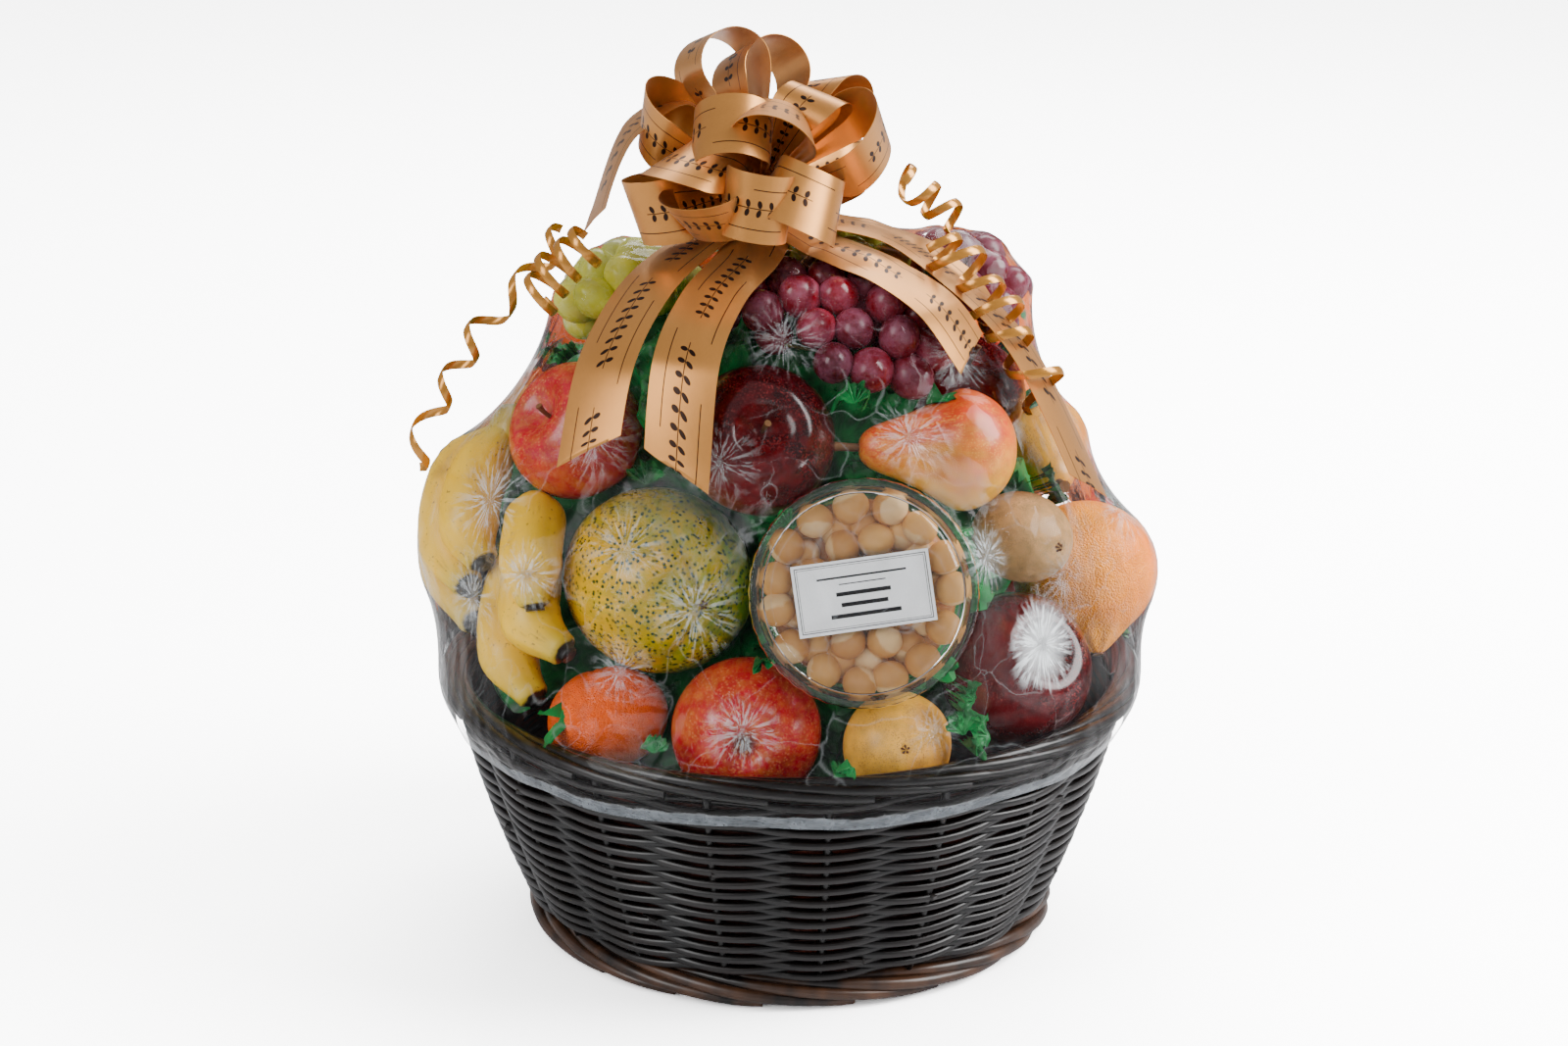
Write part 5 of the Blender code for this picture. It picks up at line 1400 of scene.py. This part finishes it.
# Bow: each loop's tip as seen in the photograph, right, up and towards the viewer from the
# knot; the way its width runs; its fullness; and how much one edge stands out past the other.
bow = {"width": 0.036, "knot": (-0.015, -0.010, 0.4206), "knotRadius": 0.0150, "clearance": 0.0040,
       "thickness": 0.00035, "steps": 72, "columns": 13, "narrowest": 0.006, "spread": 0.62,
       "reach": (0.025, 0.975), "knotArea": 0.0021}
loops = (
    ((-0.027, 0.080, 0.008), (0.35, 0.25, 0.90), 0.036, 0.00),
    ((-0.002, 0.078, -0.016), (0.50, 0.10, 0.85), 0.038, 0.00),
    ((0.041, 0.058, -0.022), (0.60, -0.30, 0.60), 0.032, 0.10),
    ((0.030, 0.046, 0.032), (0.55, -0.70, 0.20), 0.030, 0.10),
    ((0.064, 0.024, 0.042), (-0.78, 0.35, 0.50), 0.044, 0.10),
    ((0.012, 0.034, 0.056), (-0.20, -0.85, 0.50), 0.038, 0.20),
    ((-0.022, 0.027, 0.056), (0.05, 0.90, -0.40), 0.038, 0.00),
    ((-0.044, 0.009, 0.050), (-0.30, -0.90, 0.00), 0.040, 0.30),
    ((-0.064, 0.036, 0.014), (0.30, 0.70, 0.60), 0.036, 0.10),
    ((-0.066, -0.018, 0.032), (-0.20, 0.90, 0.30), 0.034, 0.05),
    ((-0.037, -0.026, 0.060), (0.05, 1.00, 0.20), 0.040, 0.25),
    ((-0.005, -0.018, 0.068), (0.15, 0.95, 0.20), 0.036, 0.00),
    ((0.031, -0.016, 0.062), (-0.25, -0.90, 0.20), 0.038, 0.10),
    ((-0.042, 0.016, -0.056), (0.50, 0.60, 0.20), 0.038, 0.10),
    ((0.008, 0.020, -0.068), (0.30, 0.90, 0.00), 0.038, 0.10),
    ((0.050, 0.014, -0.048), (-0.40, 0.80, 0.00), 0.036, 0.10),
)
tails = {
    "ribbon_tail_left": (((-0.053, -0.036, 0.392), (-0.076, -0.072, 0.380),
                          (-0.094, -0.108, 0.352), (-0.103, -0.130, 0.310)), 0.0014, 1.0),
    "ribbon_tail_middle": (((-0.021, -0.050, 0.392), (-0.040, -0.088, 0.380),
                            (-0.053, -0.124, 0.355), (-0.058, -0.144, 0.303)), 0.0030, -1.0),
    "ribbon_tail_right": (((0.022, -0.040, 0.392), (0.052, -0.060, 0.386),
                           (0.076, -0.076, 0.372), (0.093, -0.090, 0.351)), 0.0028, 1.0),
    "ribbon_tail_far": (((0.052, -0.008, 0.392), (0.084, -0.030, 0.378),
                         (0.122, -0.052, 0.342), (0.158, -0.072, 0.272)), 0.0016, -1.0),
}
freeEnd = ((-0.020, 0.006, 0.440), (-0.056, 0.010, 0.462), (-0.086, -0.004, 0.448),
           (-0.104, -0.012, 0.402))
curls = {
    "curl_left": (((-0.122, 0.002, 0.392), (-0.146, -0.004, 0.364), (-0.172, -0.014, 0.334),
                   (-0.192, -0.020, 0.300), (-0.204, -0.022, 0.266)), 0.0070, 5),
    "curl_left_ball": (((-0.108, -0.034, 0.396), (-0.136, -0.036, 0.366)), 0.0120, 4),
    "curl_right": (((0.078, -0.030, 0.392), (0.094, -0.040, 0.368), (0.110, -0.052, 0.344),
                    (0.128, -0.060, 0.310)), 0.0125, 6),
    "curl_right_small": (((0.060, 0.010, 0.420), (0.076, 0.012, 0.408),
                          (0.090, 0.008, 0.392)), 0.0095, 3),
}
curl = {"width": 0.0048, "thickness": 0.0003, "clearance": 0.0015, "stepsPerTurn": 26}


def twoSided(grid, half):
    # Both faces of a thin sheet as one grid that is joined round.
    return np.concatenate((grid + half, (grid - half)[:, ::-1]), 1)


def ribbonShape(grid, normals, thickness, travelled, across, printed=1.0):
    # A thin closed ribbon: its middle surface moved half its thickness out on each side.
    place = np.stack(np.broadcast_arrays(across, travelled[:, None],
                                         np.full(grid.shape[:2], printed)), -1)
    back = place[:, ::-1].copy()
    back[..., 2] = 0.0
    return capped(twoSided(grid, normals * thickness / 2),
                  {"ribbonSpace": np.concatenate((place, back), 1)})


def paperShape(grid, thickness):
    # A thin sheet closed all round, from its middle surface.
    return capped(twoSided(grid, normalsOf(grid) * thickness / 2))


def normalsOf(grid):
    # The cross product of the two directions of a grid at each of its points.
    along = np.gradient(grid, axis=0)
    across = np.gradient(grid, axis=1)
    return unit(np.cross(along, across))


def loopLine(length, fullness, travelled):
    # Out from the knot along a line, round an arc of half the fullness, and back: the arc's
    # middle is length - radius away, and the lines touch it.
    radius = fullness / 2
    middle = length - radius
    lean = math.asin(radius / middle)
    straight = middle * math.cos(lean)
    arc = radius * (math.pi + 2.0 * lean)
    total = 2.0 * straight + arc
    way = travelled * total
    about = math.pi / 2 + lean - (way - straight) / radius
    left = total - way
    parts = (way <= straight, way >= straight + arc)
    out = np.select(parts, (way * math.cos(lean), left * math.cos(lean)), middle + radius * np.cos(about))
    over = np.select(parts, (way * math.sin(lean), -left * math.sin(lean)), radius * np.sin(about))
    return out, over, way


def gathered(away):
    # The ribbon's width at a distance from the knot, where it is pinched.
    return np.clip(bow["spread"] * away, bow["narrowest"], bow["width"])


def loopShape(tip, wide, fullness, cone, number):
    # A loop along its line, as wide as it is gathered, its width leaning out with the cone.
    tip = fromViewer(tip)
    wide = fromViewer(wide)
    knot = np.array(bow["knot"])
    length = float(np.linalg.norm(tip))
    outward = tip / length
    wideWay = unit(wide - outward * (outward @ wide))
    share = np.linspace(*bow["reach"], bow["steps"])
    out, over, travelled = loopLine(length, fullness, share)
    belly = 0.0035 * np.sin(math.pi * share) ** 2 * np.sin(fullTurn * share + number)
    offset = np.outer(out, outward) + np.outer(over + belly, np.cross(wideWay, outward))
    widths = gathered(np.linalg.norm(offset, axis=1))
    lean = unit(wideWay[None] * widths[:, None] / 2 + offset * cone)
    across = np.linspace(-0.5, 0.5, bow["columns"])
    grid = (knot + offset)[:, None] + widths[:, None, None] * across[None, :, None] * lean[:, None]
    normal = normalsOf(grid)
    centre = knot + outward * (length - fullness / 2)
    facing = np.sign(np.sum(normal * (grid - centre), -1).mean())
    pinch = 1.0 - smooth(bow["narrowest"], bow["width"], widths)
    gathers = 0.0011 * np.cos(across * fullTurn * 2.5)[None] * pinch[:, None]
    grid = grid + normal * gathers[..., None]
    grid = overFilm(grid.reshape(-1, 3), bow["clearance"]).reshape(grid.shape)
    return ribbonShape(grid, normalsOf(grid) * facing, bow["thickness"], travelled + number * 0.171,
                       (across * bow["width"])[None])


def tailShape(line, slant, clearance, start):
    # A hanging end whose cut is slanted: each strip across it is as long as the cut leaves it.
    steps = 90
    columns = bow["columns"]
    across = np.linspace(-0.5, 0.5, columns)
    base = curve(line, np.linspace(0, 1, 60))
    length = float(np.linalg.norm(np.diff(base, axis=0), axis=1).sum())
    share = np.linspace(0.0, 1.0, steps)
    reach = share[:, None] * (1.0 + slant * 0.6 * across[None] * bow["width"] / length)
    flat = reach.ravel()
    along = unit(curve(line, np.minimum(flat + 0.01, 1.0)) - curve(line, np.minimum(flat, 1.0) - 0.01))
    centres = curve(line, np.minimum(flat, 1.0)) + along * (np.maximum(flat - 1.0, 0.0) * length)[:, None]
    along = along.reshape(steps, columns, 3)
    centres = centres.reshape(steps, columns, 3)
    side = unit(np.cross(along, unit(centres - heart)))
    grid = centres + side * (across * bow["width"])[None, :, None]
    cup = 0.0012 * (1.0 - (2 * across) ** 2)[None] + 0.0008 * np.sin(share * 9.0 + start)[:, None]
    grid = overFilm(grid.reshape(-1, 3), clearance).reshape(grid.shape)
    grid = grid + unit(grid - heart) * cup[..., None]
    normal = normalsOf(grid)
    facing = np.sign(np.sum(normal * (grid - heart), -1).mean())
    shape = ribbonShape(grid, normal * facing, bow["thickness"], share * length + start,
                        (across * bow["width"])[None])
    return shape, length


def fromKnot(line):
    # The tail's line with one point more, close to the knot it hangs from.
    knot = np.array(bow["knot"]) - (0.0, 0.0, 0.012)
    start = np.array(line[0])
    return (tuple(knot + (start - knot) * 0.35),) + tuple(line)


def makeBow():
    # The loops, one free end and the pleated knot as one piece, and each hanging tail.
    satin = newMaterial("satinRibbon", satinGroup,
                        {"Ground": tint(212, 160, 98), "Print": tint(66, 44, 30), "Shine": 0.24},
                        Metallic=0.72, Sheen_Weight=0.05, Sheen_Roughness=0.4, Anisotropic=0.5)
    shapes = [loopShape(*loop, number) for number, loop in enumerate(loops)]
    end, endLength = tailShape(freeEnd, 1.0, bow["clearance"], 0.02)
    shapes.append(end)
    ways = ball(40, 60)
    about = np.arctan2(ways[..., 1], ways[..., 0])
    fold = 1.0 + 0.07 * np.cos(13 * about + 2.0 * ways[..., 2]) + 0.05 * np.cos(7 * about)
    lump = np.array(bow["knot"]) + ways * fold[..., None] * np.array((1.0, 1.0, 0.7)) * bow["knotRadius"]
    space = np.stack((about * 0.004, ways[..., 2] * 0.015, about * 0), -1)
    shapes.append(capped(lump, {"ribbonSpace": space}))
    made = piece("bow", joined(shapes), satin, ["ribbon_bow"], sharp=60)
    area = sum(loopArea(loop) for loop in loops) + bow["width"] * endLength + bow["knotArea"]
    for index, (node, (line, clearance, slant)) in enumerate(tails.items()):
        shape, length = tailShape(fromKnot(line), slant, clearance, 0.031 * index)
        made = piece(node + "_satin", shape, satin, [node], sharp=60)
    print("bow ready")


def loopArea(loop):
    # The ribbon in a loop: its line's length times the mean width it is gathered to.
    tip, fullness = loop[0], loop[2]
    length = float(np.linalg.norm(tip))
    out, over, travelled = loopLine(length, fullness, np.linspace(*bow["reach"], bow["steps"]))
    widths = gathered(np.hypot(out, over))
    return float(np.sum((widths[1:] + widths[:-1]) / 2 * np.diff(travelled)))


def curlShape(line, ring, turns):
    # A narrow ribbon wound round its axis: axis + ring (cos t side + sin t over), its width
    # along the axis; the ring opens and closes a little from turn to turn.
    share = np.linspace(0.0, 1.0, curl["stepsPerTurn"] * turns)
    axis = curve(line, share)
    along = alongOf(axis)
    axis = overFilm(axis, ring + curl["clearance"])
    side = unit(np.cross(along, upward))
    over = np.cross(side, along)
    about = fullTurn * turns * share + 0.5 * np.sin(share * 11.0)
    radial = np.cos(about)[:, None] * side + np.sin(about)[:, None] * over
    radius = ring * (1.0 + 0.16 * np.sin(share * 17.0 + ring * 900.0))
    middle = axis + radial * radius[:, None]
    path = alongOf(middle)
    wide = unit(np.cross(path, radial))
    across = np.linspace(-0.5, 0.5, 5)
    arch = 0.10 * curl["width"] * (1.0 - (2 * across) ** 2)
    grid = (middle[:, None] + wide[:, None] * (across * curl["width"])[None, :, None]
            + radial[:, None] * arch[None, :, None])
    travelled = np.concatenate(([0.0], np.cumsum(np.linalg.norm(np.diff(middle, axis=0), axis=1))))
    shape = ribbonShape(grid, normalsOf(grid), curl["thickness"], travelled,
                        (across * curl["width"])[None], 0.0)
    return shape, float(travelled[-1])


def makeCurls():
    # The curling ribbons, shinier than the satin and bare.
    shiny = newMaterial("curlingRibbon", satinGroup,
                        {"Ground": tint(212, 160, 84), "PrintShare": 0.0, "Shine": 0.14},
                        Metallic=0.65, Coat_Weight=0.3, Coat_Roughness=0.1)
    for node, (line, ring, turns) in curls.items():
        shape, length = curlShape(line, ring, turns)
        piece(node + "_ribbon", shape, shiny, [node], sharp=60)
        print(node, "is", round(length, 3), "m long")


makeBow()
makeCurls()


# Tissue: a crumpled filling between the fruit, and frills that stand in the gaps.
tissue = {"rows": 130, "columns": 240, "lowest": -72.0, "highest": 84.0, "behind": 0.0018,
          "underFilm": 0.0060, "backFrills": 30, "thickness": 0.00012}
frills = (
    (-44, -15, 0.028), (-19, -14, 0.024), (1, 1, 0.022), (12, -15, 0.030), (35, -11, 0.036),
    (40, -12, 0.034), (38, -6, 0.030), (41, 13, 0.026), (27, 50, 0.030), (-31, 36, 0.040),
    (53, 46, 0.030), (78, 22, 0.036), (6, 29, 0.024), (56, 30, 0.028), (96, -8, 0.036), (128, 6, 0.036),
    (160, -6, 0.036), (-165, 8, 0.034), (-130, -6, 0.036), (-100, 16, 0.032), (150, 44, 0.036),
    (-140, 44, 0.036), (110, 36, 0.034),
)


def fillGaps():
    # The filling lies just behind the nearest fruit in each direction, and swells towards the
    # film where there is none, with crumples from folded sine fields.
    rows, columns = tissue["rows"], tissue["columns"]
    azimuth = circle(columns)
    elevation = np.radians(np.linspace(tissue["lowest"], tissue["highest"], rows))
    turned, risen, reach = polarOf(np.vstack(solidPoints))
    row, column, inside = cellOf(turned, risen, np.full(columns, elevation[0]), elevation[-1], rows, columns)
    near = np.full((rows, columns), 9.0)
    np.minimum.at(near, (row, column), reach[inside])
    for turn in range(2):
        near = np.minimum(near, np.minimum(np.roll(near, 1, 1), np.roll(near, -1, 1)))
        near[1:-1] = np.minimum(near[1:-1], np.minimum(near[:-2], near[2:]))
    place = (elevation[:, None] - filmLowest[0]) / (filmTop - filmLowest[0])
    filmRow = np.clip((place * (film["rows"] - 1)).astype(int), 0, film["rows"] - 1)
    filmColumn = (np.arange(columns) * film["columns"] // columns)[None]
    cover = filmReach[filmRow, filmColumn] - tissue["underFilm"]
    bowl = 0.120 + 0.02 * np.cos(elevation)[:, None] + 0 * cover
    cover = np.where(elevation[:, None] < math.radians(-20.0), bowl, cover)
    way = wayOf(azimuth[None], elevation[:, None])
    crumple = (np.abs(waves(way, 0.22, 61, 3)) + 0.8 * np.abs(waves(way, 0.09, 62, 2))
               + 0.4 * np.abs(waves(way, 0.045, 63, 2)))
    wanted = np.minimum(near - tissue["behind"], cover) - 0.010 * crumple
    for turn in range(3):
        beside = (np.roll(wanted, 1, 1) + np.roll(wanted, -1, 1)) / 2
        wanted = np.minimum(wanted, 0.5 * wanted + 0.5 * beside)
    reach = np.clip(wanted, 0.05, 0.16)
    return capped(heart + way * reach[..., None])


def frillShape(azimuth, elevation, size, seed):
    # A torn piece of tissue gathered at its foot: a fan whose pleats grow towards its edge.
    source = np.random.default_rng(seed)
    way = wayOf(math.radians(azimuth), math.radians(elevation))
    side = unit(np.cross(way, unit(source.normal(size=3) * 0.5 + upward)))
    over = np.cross(side, way)
    spread, out = np.meshgrid(np.linspace(-1.25, 1.25, 36), np.linspace(0.05, 1.0, 15))
    torn = np.sin(spread * 9.0 + seed)
    ragged = 1.0 + 0.16 * np.sign(torn) * np.abs(torn) ** 0.5
    radius = out * size * (1.0 + 0.35 * (ragged - 1.0))
    pleat = np.abs(((spread * 2.6 + seed * 0.37) % 1.0) - 0.5) * 4.0 - 1.0
    lift = size * (0.24 * pleat * out + 0.20 * out ** 2)
    flat = (np.sin(spread)[..., None] * side + np.cos(spread)[..., None] * over) * radius[..., None]
    points = heart + way * 0.5 + flat + way * lift[..., None]
    flatPoints = points.reshape(-1, 3)
    reach = np.linalg.norm(flatPoints - heart, axis=1)
    cover, gap = filmAt(flatPoints)
    rise = (lift / size * 0.011).ravel() + 0.0015 * waves(points, 0.02, seed, 2).ravel()
    standing = cover - 0.0016 + np.minimum(rise - 0.008, 0.0)
    tucked = cover - gap - 0.0025
    wanted = np.where(gap < 0.0200, np.minimum(standing, tucked), standing)
    grid = heart + (flatPoints - heart) * (wanted / reach)[:, None]
    return paperShape(grid.reshape(points.shape), tissue["thickness"])


def makeTissue():
    # The filling, the frills seen from the front, and more on a spiral round the back.
    # The lighter green is the painted highlight on the crumpled tissue's facets and folds.
    green = newMaterial("tissuePaper", paperGroup,
                        {"Ground": tint(8, 92, 54), "FoldHighlight": tint(30, 160, 92), "CrumpleScale": 70.0,
                         "Shine": 0.42})
    behind = tuple((96 + index * 137.5 % 176, -10 + 70 * (index * 0.618 % 1),
                    0.028 + 0.010 * (index * 0.37 % 1)) for index in range(tissue["backFrills"]))
    shapes = [fillGaps()] + [frillShape(*facts, number + 3) for number, facts in enumerate(frills + behind)]
    piece("tissue", joined(shapes), green, ["tissue_packing"], sharp=35)
    print("tissue ready")


makeTissue()


# Stage: the table, the room and each lamp's place, size and power. What is seen directly and
# what shines in glossy things have values of their own.
stage = {"table": tint(238, 239, 240), "tableSeen": 4.0, "tableMirrored": (0.45, 0.45, 0.46, 1.0),
         "tableReach": 6.0, "room": (1.22, 1.22, 1.22, 1.0), "roomSeen": 7.0,
         "roomMirrored": (0.30, 0.30, 0.31, 1.0), "aim": (0, 0, 0.22)}
lamps = {"windowRight": ((1.9, -0.3, 1.7), (1.4, 1.9), 104.0),
         "backTop": ((0.4, 1.6, 2.1), (2.2, 1.2), 58.0),
         "fillLeft": ((-1.9, -1.5, 1.5), (1.2, 1.6), 34.0)}


def seenBright(tree, plain, seen, mirrored):
    # A colour for bounced light, one for what shines in glossy things, and a much brighter one
    # for what the camera sees directly.
    rays = wire(tree, "LightPath").outputs
    plain = mixed(tree, rays["Is Glossy Ray"], plain, mirrored)
    return mixed(tree, rays["Is Camera Ray"], plain, even(tree, seen))


def makeStage():
    # A pale table that fades into a bright room, with a large window on the right.
    table, tree = startMaterial("paleTable")[:2]
    color = seenBright(tree, stage["table"], stage["tableSeen"], stage["tableMirrored"])
    cover = wire(tree, "BsdfDiffuse", {"Color": color})
    tree.links.new(cover.outputs[0], tree.nodes["Material Output"].inputs["Surface"])
    mesh = bpy.data.meshes.new("table")
    reach = stage["tableReach"]
    mesh.from_pydata([(-reach, -reach, 0), (reach, -reach, 0), (reach, reach, 0), (-reach, reach, 0)], [],
                     [(0, 1, 2, 3)])
    mesh.materials.append(table)
    floor = placed("table", mesh)
    world = bpy.data.worlds.new("room")
    world.use_nodes = True
    air = world.node_tree
    fill(air, air.nodes["Background"], "Color",
         seenBright(air, stage["room"], stage["roomSeen"], stage["roomMirrored"]))
    bpy.context.scene.world = world
    for name, (spot, extent, power) in lamps.items():
        lamp = bpy.data.lights.new(name, "AREA")
        lamp.shape = "RECTANGLE"
        lamp.size, lamp.size_y = extent
        lamp.energy = power
        made = placed(name, lamp)
        made.location = spot
        made.rotation_euler = (Vector(stage["aim"]) - Vector(spot)).to_track_quat("-Z", "Y").to_euler()


def makeCamera():
    # At the photograph's viewing angle, tilted down and not turned.
    data = bpy.data.cameras.new("camera")
    data.lens = camera["lens"]
    data.sensor_width = camera["sensor"]
    made = placed("camera", data)
    made.location = camera["place"]
    made.rotation_euler = (math.radians(90.0 - camera["drop"]), 0.0, 0.0)
    bpy.context.scene.camera = made


makeStage()
makeCamera()
print("scene ready")
